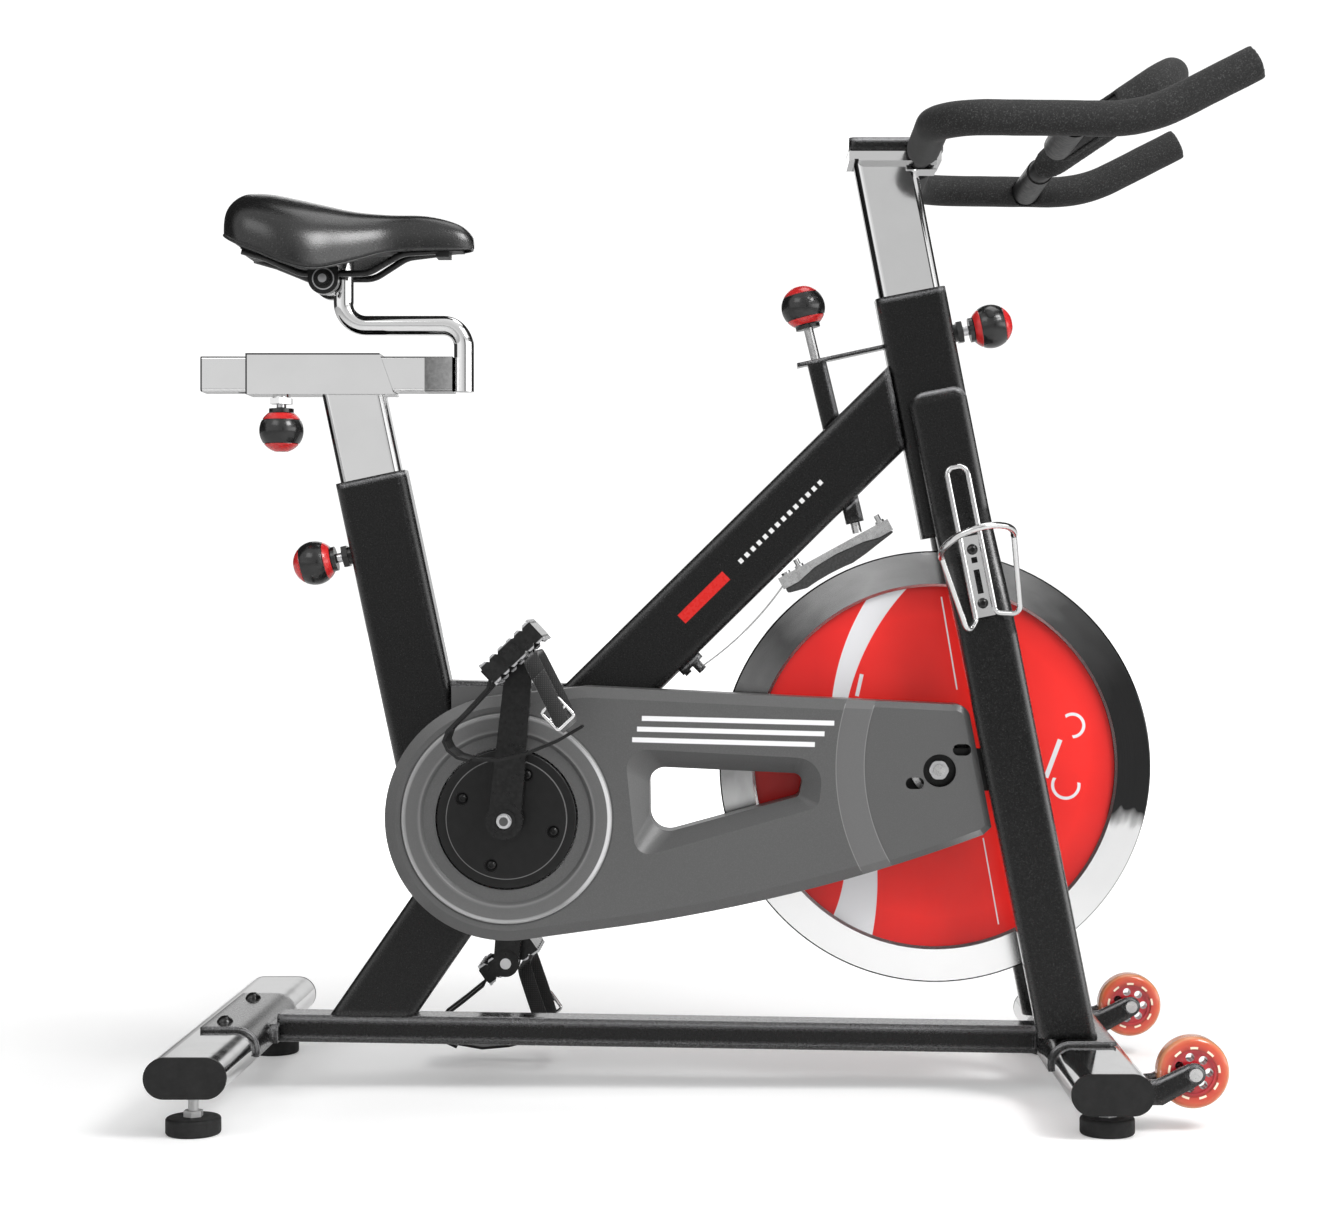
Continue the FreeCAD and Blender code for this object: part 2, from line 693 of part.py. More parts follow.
def belt_path(drive_r, small_r):
    """Side-view region inside a loop around both pulleys."""
    dx = WHEEL_X - CRANK_X
    dz = WHEEL_Z - CRANK_Z
    span = math.hypot(dx, dz)
    slope = math.atan2(dz, dx)
    wrap = math.acos((drive_r - small_r) / span)
    discs = cross_disc(CRANK_X, CRANK_Z, BELT_NEAR_Y + 1, BELT_FAR_Y - 1, drive_r)
    discs = discs.fuse(cross_disc(WHEEL_X, WHEEL_Z, BELT_NEAR_Y + 1, BELT_FAR_Y - 1, small_r))
    corners = []
    for sign in (1, -1):
        a = slope + sign * wrap
        big = (CRANK_X + drive_r * math.cos(a), CRANK_Z + drive_r * math.sin(a))
        small = (WHEEL_X + small_r * math.cos(a), WHEEL_Z + small_r * math.sin(a))
        corners.append((big, small))
    outline = [corners[0][0], corners[0][1], corners[1][1], corners[1][0]]
    return discs.fuse(prism(outline, BELT_NEAR_Y + 1, BELT_FAR_Y - 1)).removeSplitter()


def drive_belt():
    clearance = 0.4
    outer = belt_path(DRIVE_PULLEY_R + BELT_T, SMALL_PULLEY_R + BELT_T)
    return outer.cut(belt_path(DRIVE_PULLEY_R + clearance, SMALL_PULLEY_R + clearance))


def drive_pulley():
    """Large pulley on the crank spindle, lightened by six round windows."""
    pulley = cross_disc(CRANK_X, CRANK_Z, BELT_NEAR_Y, BELT_FAR_Y, DRIVE_PULLEY_R)
    pulley = pulley.cut(cross_disc(CRANK_X, CRANK_Z, BELT_NEAR_Y + 5, BELT_FAR_Y + 1,
                                   DRIVE_PULLEY_R - 6))
    hub = cross_disc(CRANK_X, CRANK_Z, BELT_NEAR_Y, BELT_FAR_Y, SPINDLE_R + 8)
    pulley = pulley.fuse(hub)
    for i in range(6):
        a = math.radians(60 * i + 30)
        x = CRANK_X + 48 * math.cos(a)
        z = CRANK_Z + 48 * math.sin(a)
        pulley = pulley.cut(cross_disc(x, z, BELT_NEAR_Y - 1, BELT_FAR_Y + 1, 13))
    return pulley.cut(crank_axis_cylinder(SPINDLE_R))


def pulley_cover():
    """Black disc that fills the guard's round hole and turns with the crank."""
    disc = cross_disc(CRANK_X, CRANK_Z, -77, -70, COVER_R)
    edges = [e for e in disc.Edges if e.BoundBox.YLength < 0.01 and e.BoundBox.YMin < -76]
    disc = disc.makeFillet(2.0, edges)
    step = cross_disc(CRANK_X, CRANK_Z, -79, -77, COVER_STEP_R)
    spacer = cross_disc(CRANK_X, CRANK_Z, -70, BELT_NEAR_Y, SPINDLE_R + 8)
    cover = disc.fuse([step, spacer]).removeSplitter()
    cover = cover.cut(cross_disc(CRANK_X, CRANK_Z, -100, -30, SPINDLE_R))
    screws = []
    for angle in (65, 155, 252, 345):
        a = math.radians(angle)
        x = CRANK_X + COVER_SCREW_R * math.cos(a)
        z = CRANK_Z + COVER_SCREW_R * math.sin(a)
        cover = cover.cut(cross_disc(x, z, -80, -76.5, 7.0))
        screws.append(dome_bolt(V(x, -76.5, z), V(0, -1, 0), 5.6, 4.0))
    return [cover] + screws


def crank_end(sign):
    """Pedal end of a crank: +1 is the right crank, which points up."""
    d = lean(CRANK_LEAN) * (CRANK_LENGTH * sign)
    return V(CRANK_X + d.x, 0, CRANK_Z + d.z)


def crank_arm(sign):
    """Tapered arm with a round boss at each end; right is +1."""
    y_in = -sign * CRANK_INNER_Y
    y_out = -sign * (CRANK_INNER_Y + CRANK_T)
    y0 = min(y_in, y_out)
    y1 = max(y_in, y_out)
    end = crank_end(sign)
    d = lean(CRANK_LEAN) * sign
    e = V(d.z, 0, -d.x)
    centre = V(CRANK_X, 0, CRANK_Z)
    outline = []
    for corner in (centre + e * 16.5, end + e * 13.5, end - e * 13.5, centre - e * 16.5):
        outline.append((corner.x, corner.z))
    arm = prism(outline, y0 + 1.5, y1 - 1.5)
    arm = arm.fuse(cross_disc(CRANK_X, CRANK_Z, y0, y1, 19))
    arm = arm.fuse(cross_disc(end.x, end.z, y0, y1, 14.5)).removeSplitter()
    arm = arm.cut(cross_disc(CRANK_X, CRANK_Z, y0 - 1, y1 + 1, SPINDLE_R))
    return arm.cut(cross_disc(end.x, end.z, y0 - 1, y1 + 1, PEDAL_AXLE_R))


def crank_axles():
    """Spindle with its two end bolts, and the two pedal axles."""
    reach = CRANK_INNER_Y + CRANK_T
    spindle = cross_disc(CRANK_X, CRANK_Z, -reach, reach, SPINDLE_R)
    pieces = [spindle]
    for sign in (1, -1):
        y_face = -sign * reach
        seat = V(CRANK_X, y_face, CRANK_Z)
        out = V(0, -sign, 0)
        washer = ring(seat, seat + out * 2.5, 12.0, 9.0)
        head = hex_nut(seat, seat + out * 5, 13.0)
        pieces.append(washer)
        pieces.append(head)
        end = crank_end(sign)
        start = V(end.x, -sign * CRANK_INNER_Y, end.z)
        tip = V(end.x, -sign * (reach + PEDAL_OUTER_W - 4), end.z)
        pieces.append(rod(start, tip, PEDAL_AXLE_R))
    return pieces


# ---------------------------------------------------------------- pedals

class PedalFrame:
    """Pedal axes: u towards the toe, v to the foot side, w outboard."""

    def __init__(self, sign, angle):
        a = math.radians(angle)
        self.u = V(math.cos(a), 0, math.sin(a))
        self.v = V(-math.sin(a), 0, math.cos(a))
        self.w = V(0, -sign, 0)
        end = crank_end(sign)
        self.origin = V(end.x, -sign * (CRANK_INNER_Y + CRANK_T), end.z)

    def at(self, u, v, w):
        return self.origin + self.u * u + self.v * v + self.w * w

    def slab(self, outline, w0, w1):
        """Outline in u and v, extruded outboard from w0 to w1."""
        points = [self.at(u, v, w0) for u, v in outline]
        face = Part.Face(Part.makePolygon(points + [points[0]]))
        return face.extrude(self.w * (w1 - w0))

    def block(self, u0, u1, v0, v1, w0, w1):
        return self.slab([(u0, v0), (u1, v0), (u1, v1), (u0, v1)], w0, w1)


def toothed_side(f, w0, w1):
    """Side plate of the cage, with teeth along both long edges."""
    pitch = 11.0
    depth = 4.0
    half = PEDAL_HALF_LENGTH
    top = []
    u = -half
    while u < half - 0.1:
        top.append((u, PEDAL_HALF_HEIGHT - depth))
        top.append((u + pitch * 0.3, PEDAL_HALF_HEIGHT))
        top.append((u + pitch * 0.7, PEDAL_HALF_HEIGHT))
        u += pitch
    top.append((half, PEDAL_HALF_HEIGHT - depth))
    low = [(u, -v) for u, v in reversed(top)]
    return f.slab(top + low, w0, w1)


def pedal_cage(f):
    half = PEDAL_HALF_LENGTH
    w0 = PEDAL_INNER_W
    w1 = PEDAL_OUTER_W
    cage = toothed_side(f, w0, w0 + 2.5)
    cage = cage.fuse(toothed_side(f, w1 - 2.5, w1))
    for u0, u1 in ((-half, -half + 2.5), (half - 2.5, half)):
        cage = cage.fuse(f.block(u0, u1, -8, 8, w0, w1))
        teeth = []
        for i in range(6):
            w = w0 + 6 + i * (w1 - w0 - 12) / 5.0
            teeth.append(f.block(u0, u1, -13, 13, w - 3, w + 3))
        cage = cage.fuse(teeth)
    barrel = rod(f.at(0, 0, w0), f.at(0, 0, w1), 11.0)
    cage = cage.fuse(barrel)
    cage = cage.fuse(rod(f.at(0, 0, w1), f.at(0, 0, w1 + 3), 9.0))
    bore = rod(f.at(0, 0, w0 - 1), f.at(0, 0, w1 - 2), PEDAL_AXLE_R + RUNNING_FIT)
    return cage.removeSplitter().cut(bore)


def offset_strip(points, thickness):
    """Closed outline of a strip that follows a polyline in the side view."""
    upper = []
    lower = []
    count = len(points)
    for i in range(count):
        before = points[max(i - 1, 0)]
        after = points[min(i + 1, count - 1)]
        du = after[0] - before[0]
        dv = after[1] - before[1]
        length = math.hypot(du, dv)
        nu = -dv / length * thickness / 2
        nv = du / length * thickness / 2
        upper.append((points[i][0] + nu, points[i][1] + nv))
        lower.append((points[i][0] - nu, points[i][1] - nv))
    return upper + list(reversed(lower))


def toe_clip(f):
    """Moulded toe basket: two rails forward, a toe plate and a tongue back."""
    start = PEDAL_HALF_LENGTH + CLIP_T / 2
    rails = [(start, -8), (start, 4), (start + 8, 9), (72, 11), (100, 12), (110, 17)]
    front = [(100, 12), (110, 17), (113, 26), (111, 38), (105, 48)]
    tongue = [(111, 38), (105, 48), (86, 67), (60, 82), (30, 93.5), (2, 100)]
    clip = f.slab(offset_strip(rails, CLIP_T), 28, 40)
    clip = clip.fuse(f.slab(offset_strip(rails, CLIP_T), 74, 86))
    clip = clip.fuse(f.slab(offset_strip(rails[:2], CLIP_T), 28, 86))
    clip = clip.fuse(f.slab(offset_strip(front, CLIP_T), 28, 86))
    clip = clip.fuse(f.slab(offset_strip(tongue, CLIP_T), 47, 67))
    return clip.removeSplitter()


def toe_strap(f):
    """Strap loop through the pedal and over the foot, with its buckle."""
    shift = 0.30
    u0 = -23.0

    def band(w_low, w_high, v_low, v_high):
        corners = ((w_low, v_low), (w_high, v_low), (w_high, v_high), (w_low, v_high))
        points = []
        for w, v in corners:
            points.append(f.at(u0 + shift * v, v, w))
        face = Part.Face(Part.makePolygon(points + [points[0]]))
        return face.extrude(f.u * STRAP_WIDTH)

    w_in = 10.0
    w_out = PEDAL_OUTER_W + 7
    top = 91.0
    low = 14.5
    outer = band(w_in, w_out, low, top)
    inner = band(w_in + STRAP_T, w_out - STRAP_T, low + STRAP_T, top - STRAP_T)
    strap = outer.cut(inner)
    face_w = w_out + 0.3
    buckle = buckle_frame(f, u0 + shift * 62, 62.0, face_w)
    return [strap, buckle]


def buckle_frame(f, u, v, w):
    """Rectangular wire frame lying on the strap's outer face."""
    frame = f.block(u - 3, u + STRAP_WIDTH + 3, v, v + 26, w, w + 2.5)
    frame = frame.cut(f.block(u + 0.5, u + STRAP_WIDTH - 0.5, v + 3.5, v + 22.5, w - 1, w + 4))
    return frame.fuse(f.block(u - 3, u + STRAP_WIDTH + 3, v + 10, v + 13, w, w + 2.5))


# ---------------------------------------------------------------- guard

def guard_outline(grow):
    """Side-view wire of the guard, offset outward by grow."""
    y = 0.0
    c = V(CRANK_X, y, CRANK_Z)
    top_a = math.radians(97.0)
    low_a = math.radians(-82.9)
    top_tangent = c + V(math.cos(top_a), 0, math.sin(top_a)) * GUARD_R
    low_tangent = c + V(math.cos(low_a), 0, math.sin(low_a)) * GUARD_R
    left = c + V(-GUARD_R, 0, 0)
    p = [top_tangent, V(-128, y, 430), V(250, y, 411.5), V(268, y, 401), V(290.5, y, 285),
         V(282, y, 277)]
    edges = [Part.Arc(low_tangent, left, top_tangent).toShape()]
    edges.append(Part.LineSegment(p[0], p[1]).toShape())
    edges.append(Part.LineSegment(p[1], p[2]).toShape())
    edges.append(Part.Arc(p[2], V(262.5, y, 408.5), p[3]).toShape())
    edges.append(Part.LineSegment(p[3], p[4]).toShape())
    edges.append(Part.LineSegment(p[4], p[5]).toShape())
    low = V(-118, y, 179)
    edges.append(Part.Arc(p[5], V(95, y, 219), low).toShape())
    edges.append(Part.LineSegment(low, low_tangent).toShape())
    face = Part.Face(Part.Wire(edges))
    if abs(grow) > 1e-6:
        face = face.makeOffset2D(grow, 0)
    return face


def slab_of(face, y0, y1):
    moved = face.copy()
    moved.translate(V(0, y0, 0))
    return moved.extrude(V(0, y1 - y0, 0))


def window_face(corners):
    """Rounded window outline as a face in the plane y = 0."""
    points = [V(x, 0, z) for x, z, _ in corners]
    radii = [radius for _, _, radius in corners]
    middle = (points[0] + points[-1]) * 0.5
    return Part.Face(route([middle] + points + [middle], radii))


def window_funnel(grow):
    """Bevelled opening: wide at the near face, narrow deeper in."""
    wide = window_face(WINDOW_OUTER)
    narrow = window_face(WINDOW_INNER)
    if grow > 0:
        wide = wide.makeOffset2D(grow, 0)
        narrow = narrow.makeOffset2D(grow, 0)
    depth_y = GUARD_NEAR_Y + WINDOW_DEPTH
    wide_wire = wide.OuterWire.copy()
    wide_wire.translate(V(0, GUARD_NEAR_Y, 0))
    narrow_wire = narrow.OuterWire.copy()
    narrow_wire.translate(V(0, depth_y, 0))
    funnel = Part.makeLoft([wide_wire, narrow_wire], True, True)
    shaft = slab_of(narrow, depth_y, GUARD_BACK_Y + 4)
    return funnel.fuse(shaft)


def front_of_arc(points, y0, y1):
    """Region of the guard ahead of a side-view arc."""
    a, b, c = [V(x, 0, z) for x, z in points]
    arc = Part.Arc(a, b, c).toShape()
    far = [V(c.x, 0, c.z), V(c.x, 0, c.z - 60), V(400, 0, c.z - 60), V(400, 0, a.z + 60),
           V(a.x, 0, a.z + 60), V(a.x, 0, a.z)]
    edges = [arc]
    for i in range(len(far) - 1):
        edges.append(Part.LineSegment(far[i], far[i + 1]).toShape())
    return slab_of(Part.Face(Part.Wire(edges)), y0, y1)


def guard_outer():
    """Moulded near half of the belt guard."""
    near = GUARD_NEAR_Y
    body = slab_of(guard_outline(0.0), near, GUARD_SPLIT_Y)
    rim = [e for e in body.Edges if e.BoundBox.YLength < 0.01 and e.BoundBox.YMin < near + 1]
    body = body.makeChamfer(GUARD_BEVEL_DEPTH, GUARD_BEVEL, rim)
    raised = ring(V(CRANK_X, near - 2.5, CRANK_Z), V(CRANK_X, near, CRANK_Z), 106.5, COVER_R + 2)
    body = body.fuse(raised)
    groove = ring(V(CRANK_X, near - 1, CRANK_Z), V(CRANK_X, near + 1.5, CRANK_Z), 109.5, 106.5)
    body = body.cut(groove)
    dish = Part.makeCone(90, 86, 3.5, V(CRANK_X, near - 2.6, CRANK_Z), ALONG_Y)
    body = body.cut(dish)
    arc_one = [(146, 430), (130, 338), (156, 240)]
    arc_two = [(177, 430), (159, 343), (191, 240)]
    body = body.cut(front_of_arc(arc_one, near - 1, near + 1.2))
    body = body.cut(front_of_arc(arc_two, near - 1, near + 2.4))
    cavity = slab_of(guard_outline(-GUARD_WALL - 3.5), near + 7, GUARD_SPLIT_Y + 1)
    cavity = cavity.cut(window_funnel(GUARD_WALL))
    body = body.cut(cavity)
    body = body.cut(window_funnel(0.0))
    body = body.cut(cross_disc(CRANK_X, CRANK_Z, -90, -20, COVER_R + 1.5))
    body = body.cut(cross_disc(WHEEL_X, WHEEL_Z, -90, -60, 17.0))
    for dx, dz in ((-25.5, -13.0), (23.0, 21.5)):
        slot = box(WHEEL_X + dx - 3.5, WHEEL_X + dx + 3.5, -90, -60, WHEEL_Z + dz - 6,
                   WHEEL_Z + dz + 6)
        slot = slot.fuse(cross_disc(WHEEL_X + dx - 3.5, WHEEL_Z + dz, -90, -60, 6.0))
        slot = slot.fuse(cross_disc(WHEEL_X + dx + 3.5, WHEEL_Z + dz, -90, -60, 6.0))
        body = body.cut(slot)
    inner = FORK_FOOT_Y - FORK_WIDTH / 2
    notch = box(WHEEL_X, 330, -inner - 0.5, -inner + AXLE_PLATE_T + 0.5, WHEEL_Z - 22.5,
                WHEEL_Z + 22.5)
    body = body.cut(notch)
    return max(body.Solids, key=lambda s: s.Volume)


def guard_inner():
    """Flat back plate of the belt guard, with the ear beside the seat tube."""
    plate = slab_of(guard_outline(-0.5), GUARD_SPLIT_Y + 0.4, GUARD_BACK_Y)
    ear = prism([(-272, 380), (-150, 380), (-150, 428.5), (-272, 428.5)],
                GUARD_SPLIT_Y + 0.4, GUARD_BACK_Y)
    plate = plate.fuse(ear).removeSplitter()
    plate = plate.cut(slab_of(window_face(WINDOW_INNER), -40, 0))
    plate = plate.cut(crank_axis_cylinder(SHELL_R + 1.5))
    plate = plate.cut(cross_disc(WHEEL_X, WHEEL_Z, -60, 0, HUB_R + 2))
    return plate


# ---------------------------------------------------------------- brake

def rod_point(z):
    k = math.tan(math.radians(-ROD_TILT))
    return V(ROD_THROUGH[0] + (ROD_THROUGH[1] - z) * k, 0, z)


def brake_mounts():
    """Upper post and lower boss of the brake rod, the brace and the spring anchor."""
    along = main_axis()
    through = side(MAIN_THROUGH)
    tube_block = bar(through - along * 420, through + along * 260, TUBE_DEPTH, TUBE_WIDTH,
                     TUBE_CORNER)
    upper = bar(rod_point(690), rod_point(772), 20, 20, 3.0)
    lower = bar(rod_point(601), rod_point(660), 19, 19, 3.0)
    rod_hole = rod(rod_point(560), rod_point(800), ROD_HOLE_R)
    upper = upper.cut(tube_block)
    lower = lower.cut(tube_block)
    upper = max(upper.Solids, key=lambda s: s.CenterOfMass.z)
    lower = min(lower.Solids, key=lambda s: s.CenterOfMass.z)
    brace = prism([(92.0, 765.2), (190.8, 786.5), (190.0, 790.4), (91.2, 769.1)], -12, 12)
    head_low = side(HEAD_TOP) - head_axis() * HEAD_TUBE_LENGTH
    brace = brace.cut(bar(head_low, side(HEAD_TOP), TUBE_DEPTH, TUBE_WIDTH, TUBE_CORNER))
    post_top = upper.fuse(brace).removeSplitter().cut(rod_hole)
    anchor = brake_anchor(tube_block)
    return [post_top, lower.cut(rod_hole), anchor]


def leaf_pivot():
    """Axis of the pin that the brake's spring leaf swings on."""
    along = main_axis()
    down = V(along.z, 0, -along.x)
    return side(MAIN_THROUGH) + down * (TUBE_DEPTH / 2 + LEAF_DROP) - along * LEAF_BACK


def brake_anchor(tube_block):
    """Small plate under the main tube with two ears and the leaf's pin."""
    along = main_axis()
    down = V(along.z, 0, -along.x)
    pivot = leaf_pivot()
    base = pivot - down * LEAF_DROP
    plate = bar(base - along * 18 + down * 3, base + along * 10 + down * 3, 6, 30, 1.5)
    pieces = []
    for y0 in (-14.5, 11.5):
        ear = bar(pivot - down * (LEAF_DROP - 3), pivot + down * 4, 9, 3, 1.2)
        ear.translate(V(0, y0 + 1.5, 0))
        pieces.append(ear)
    pieces.append(cross_disc(pivot.x, pivot.z, -16, 16, LEAF_PIN_R))
    for y in (-6.5, 6.5):
        seat = base - along * 13 + down * 6 + ALONG_Y * y
        pieces.append(rod(seat, seat + down * 3, 3.8))
    return plate.fuse(pieces).removeSplitter().cut(tube_block)


def shoe_frame():
    """Unit vectors along and above the brake shoe."""
    start = side(SHOE_START)
    along = side(SHOE_END) - start
    length = along.Length
    along.normalize()
    up = V(-along.z, 0, along.x)
    return start, along, up, length


def shoe_arch(length):
    """Lower edge of the channel, and so the upper edge of the pad, as (along, up)."""
    return [(length - 1, -SHOE_HALF), (length - 17, -SHOE_HALF), (length * 0.74, -2.5),
            (length * 0.5, 0.0), (length * 0.3, -1.2), (18, -SHOE_HALF), (2, -SHOE_HALF)]


def shoe_slab(outline, half_y):
    """Outline in the shoe's own axes, extruded to both sides."""
    start, along, up, _ = shoe_frame()
    corners = [start + along * s + up * t for s, t in outline]
    return prism([(p.x, p.z) for p in corners], -half_y, half_y)


def brake_carrier():
    """Arched channel that holds the pad, its bolts and the spring leaf."""
    start, along, up, length = shoe_frame()
    channel = shoe_slab([(0, SHOE_HALF), (length, SHOE_HALF), (length, -SHOE_HALF)]
                        + shoe_arch(length) + [(0, -SHOE_HALF)], 13)
    bolts = []
    for s, stud in ((10.0, 2.5), (26.0, 9.0), (length - 8, 9.0)):
        seat = start + along * s + up * SHOE_HALF
        bolts.append(rod(seat, seat + up * 2.5, 5.0))
        bolts.append(rod(seat, seat + up * stud, 3.0))
    channel = channel.fuse(bolts)
    pivot = leaf_pivot()
    joint = start + along * 4 - up * 1.0
    chord = joint - pivot
    across = V(chord.z, 0, -chord.x)
    across.normalize()
    mid = (pivot + joint) * 0.5 + across * LEAF_BOW
    arc = Part.Arc(pivot, mid, joint).toShape()
    thick = arc.tangentAt(arc.FirstParameter).cross(ALONG_Y) * (LEAF_T / 2)
    wide = ALONG_Y * (LEAF_WIDTH / 2)
    section = Part.makePolygon([pivot - thick - wide, pivot + thick - wide, pivot + thick + wide,
                                pivot - thick + wide, pivot - thick - wide])
    leaf = Part.Wire([arc]).makePipeShell([section], True, False)
    eye = cross_disc(pivot.x, pivot.z, -10, 10, LEAF_PIN_R + 2.0)
    carrier = channel.fuse([leaf, eye]).removeSplitter()
    return carrier.cut(cross_disc(pivot.x, pivot.z, -12, 12, LEAF_PIN_R + RUNNING_FIT))


def brake_pad():
    """Felt leaf under the channel, hollowed to the flywheel's radius."""
    length = shoe_frame()[3]
    lower = [(2, -12), (length * 0.2, -18), (length * 0.45, -19), (length * 0.72, -15),
             (length - 1, -9)]
    block = shoe_slab(shoe_arch(length) + lower, 12)
    return block.cut(cross_disc(WHEEL_X, WHEEL_Z, -60, 60, WHEEL_R + PAD_GAP))


def knob_shapes(centre, out, stem_length, stem_r):
    """Ball knob with a flat cap and a collar at its root, on a steel pin."""
    ball = Part.makeSphere(KNOB_R, centre)
    keep = rod(centre - out * (KNOB_R - 3), centre + out * (KNOB_R - 1.0), KNOB_R + 1)
    ball = ball.common(keep)
    root = centre - out * (KNOB_R - 3)
    collar = rod(root - out * 3, root + out * 2, 13.0)
    knob = ball.fuse(collar)
    for offset in (-11.5, 14.0):
        at = centre + out * offset
        groove_r = math.sqrt(KNOB_R ** 2 - offset ** 2)
        knob = knob.cut(ring(at - out * 0.7, at + out * 0.7, groove_r + 2, groove_r - 0.8))
    pin_start = root - out * 3
    pin = rod(pin_start, pin_start - out * stem_length, stem_r)
    return knob.removeSplitter(), pin


# ---------------------------------------------------------------- seat

def seat_post():
    """Oval post with the square sleeve welded across its top."""
    up = seat_axis()
    top = side(SEAT_TOP)
    k = math.tan(math.radians(SEAT_TILT))
    sleeve_low = SLIDE_Z - SLEEVE_SIDE / 2
    head = V(SEAT_TOP[0] - (sleeve_low + 6 - SEAT_TOP[1]) * k, 0, sleeve_low + 6)
    post = bar(top - up * 200, head + up * 30, POST_DEPTH, POST_WIDTH, POST_CORNER, POST_WALL)
    post = post.cut(box(-700, 0, -60, 60, sleeve_low, 900))
    back = V(-up.z, 0, up.x)
    for i in range(5):
        hole = top - up * (SEAT_PIN_DROP + 25 * (i - 2))
        post = post.cut(rod(hole, hole + back * 60, 6.0))
    front_low = -333.0
    front_high = front_low - SLEEVE_SIDE * k - 6
    outline = [(SLEEVE_REAR_X, sleeve_low), (front_low, sleeve_low),
               (front_high, sleeve_low + SLEEVE_SIDE), (SLEEVE_REAR_X, sleeve_low + SLEEVE_SIDE)]
    sleeve = prism(outline, -SLEEVE_SIDE / 2, SLEEVE_SIDE / 2)
    room = SLIDE_SIDE / 2 + 0.4
    sleeve = sleeve.cut(box(-700, -200, -room, room, SLIDE_Z - room, SLIDE_Z + room))
    sleeve = sleeve.cut(rod(V(SLIDE_PIN_X, 0, 700), V(SLIDE_PIN_X, 0, SLIDE_Z), PIN_HOLE_R))
    return [post, sleeve]


def seat_slide():
    """Square slide in the sleeve, plugged at both ends."""
    half = SLIDE_SIDE / 2
    tube = bar(V(SLIDE_REAR_X + 3, 0, SLIDE_Z), V(SLIDE_FRONT_X - 3, 0, SLIDE_Z), SLIDE_SIDE,
               SLIDE_SIDE, 3.0, 2.0)
    for i in range(5):
        x = SLIDE_PIN_X + 20 * (i - 2)
        tube = tube.cut(rod(V(x, 0, SLIDE_Z - half - 1), V(x, 0, SLIDE_Z), 6.0))
    plugs = []
    for x0 in (SLIDE_REAR_X, SLIDE_FRONT_X - 3):
        plug = bar(V(x0, 0, SLIDE_Z), V(x0 + 3, 0, SLIDE_Z), SLIDE_SIDE, SLIDE_SIDE, 3.0)
        plugs.append(plug)
    return [tube] + plugs


def saddle_stem():
    """Bent rod from the slide's front end up to the saddle, and the clamp core."""
    x_front = SLIDE_FRONT_X + STEM_R
    low = V(x_front, 0, SLIDE_Z - SLIDE_SIDE / 2 + 1)
    points = [low, V(x_front, 0, 810), V(-389, 0, 810), V(-389, 0, 878)]
    stem = sweep(route(points, [22, 24]), STEM_R)
    core = rod(V(SADDLE_PIVOT[0], -17, SADDLE_PIVOT[1]), V(SADDLE_PIVOT[0], 17, SADDLE_PIVOT[1]),
               14.0)
    neck = box(-402, -389, -12, 12, SADDLE_PIVOT[1] - 12, SADDLE_PIVOT[1] + 10)
    core = core.fuse(neck).cut(rod(V(-389, 0, 700), V(-389, 0, 900), STEM_R))
    return [stem, core]


def rail_bars():
    """The two bent steel rails under the saddle."""
    bars = []
    for sign in (-1, 1):
        y = sign * 23.0
        points = [V(-490, sign * 35, 884), V(-466, sign * 33, 877), V(-430, y, 862),
                  V(-360, y, 862), V(-324, sign * 18, 884), V(-280, sign * 8, 888)]
        bars.append(sweep(route(points, [14, 30, 30, 30]), 3.5))
    return bars


def saddle_rails():
    """Rails with the clamp cheeks that grip them."""
    pieces = []
    px, pz = SADDLE_PIVOT
    for sign, rail in zip((-1, 1), rail_bars()):
        y0 = min(sign * 17.5, sign * 29)
        y1 = max(sign * 17.5, sign * 29)
        cheek = cross_disc(px, pz, y0, y1, 16)
        cheek = cheek.fuse(box(px - 16, px + 16, y0, y1, pz - 1, pz + 13))
        bolt = hex_nut(V(px, sign * 29, pz), V(px, sign * 35, pz), 13.0)
        pieces.append(rail.fuse([cheek, bolt]))
    return pieces


def saddle_section(x, half_w, z_low, z_mid, z_top):
    """Closed cross-section of the padding: domed on top, hollow below."""
    height = z_top - z_low
    shape = [(0.0, 1.0), (0.5, 0.97), (0.86, 0.80), (1.0, 0.48), (0.95, 0.12), (0.80, 0.0)]
    points = [V(x, half_w * w, z_low + height * h) for w, h in shape]
    points.append(V(x, half_w * 0.45, z_mid))
    points.append(V(x, 0, z_mid))
    mirror = [V(p.x, -p.y, p.z) for p in reversed(points[1:-1])]
    curve = Part.BSplineCurve()
    curve.interpolate(points + mirror, True)
    return Part.Wire(curve.toShape())


def saddle_pad():
    wires = [saddle_section(*station) for station in SADDLE_STATIONS]
    return Part.makeLoft(wires, True, False)


def saddle_shell():
    """Moulded base plate under the hollow of the padding."""
    upper = [(-496, 893.6), (-478, 887.6), (-445, 886.0), (-410, 886.0), (-370, 887.4),
             (-330, 889.6), (-262, 891.0)]
    upper = [(x, z - SHELL_DROP) for x, z in upper]
    lower = [(x, z - 3.0) for x, z in reversed(upper)]
    shell = prism(upper + lower, -SHELL_HALF_Y, SHELL_HALF_Y)
    for x, half_y in ((-482, 37), (-283, 13)):
        block = box(x - 7, x + 7, -half_y, half_y, 881.0, 888.5 if x > -400 else 886.8)
        shell = shell.fuse(block)
    shell = shell.removeSplitter()
    for rail in rail_bars():
        shell = shell.cut(rail)
    return max(shell.Solids, key=lambda s: s.Volume)


# ---------------------------------------------------------------- handlebar

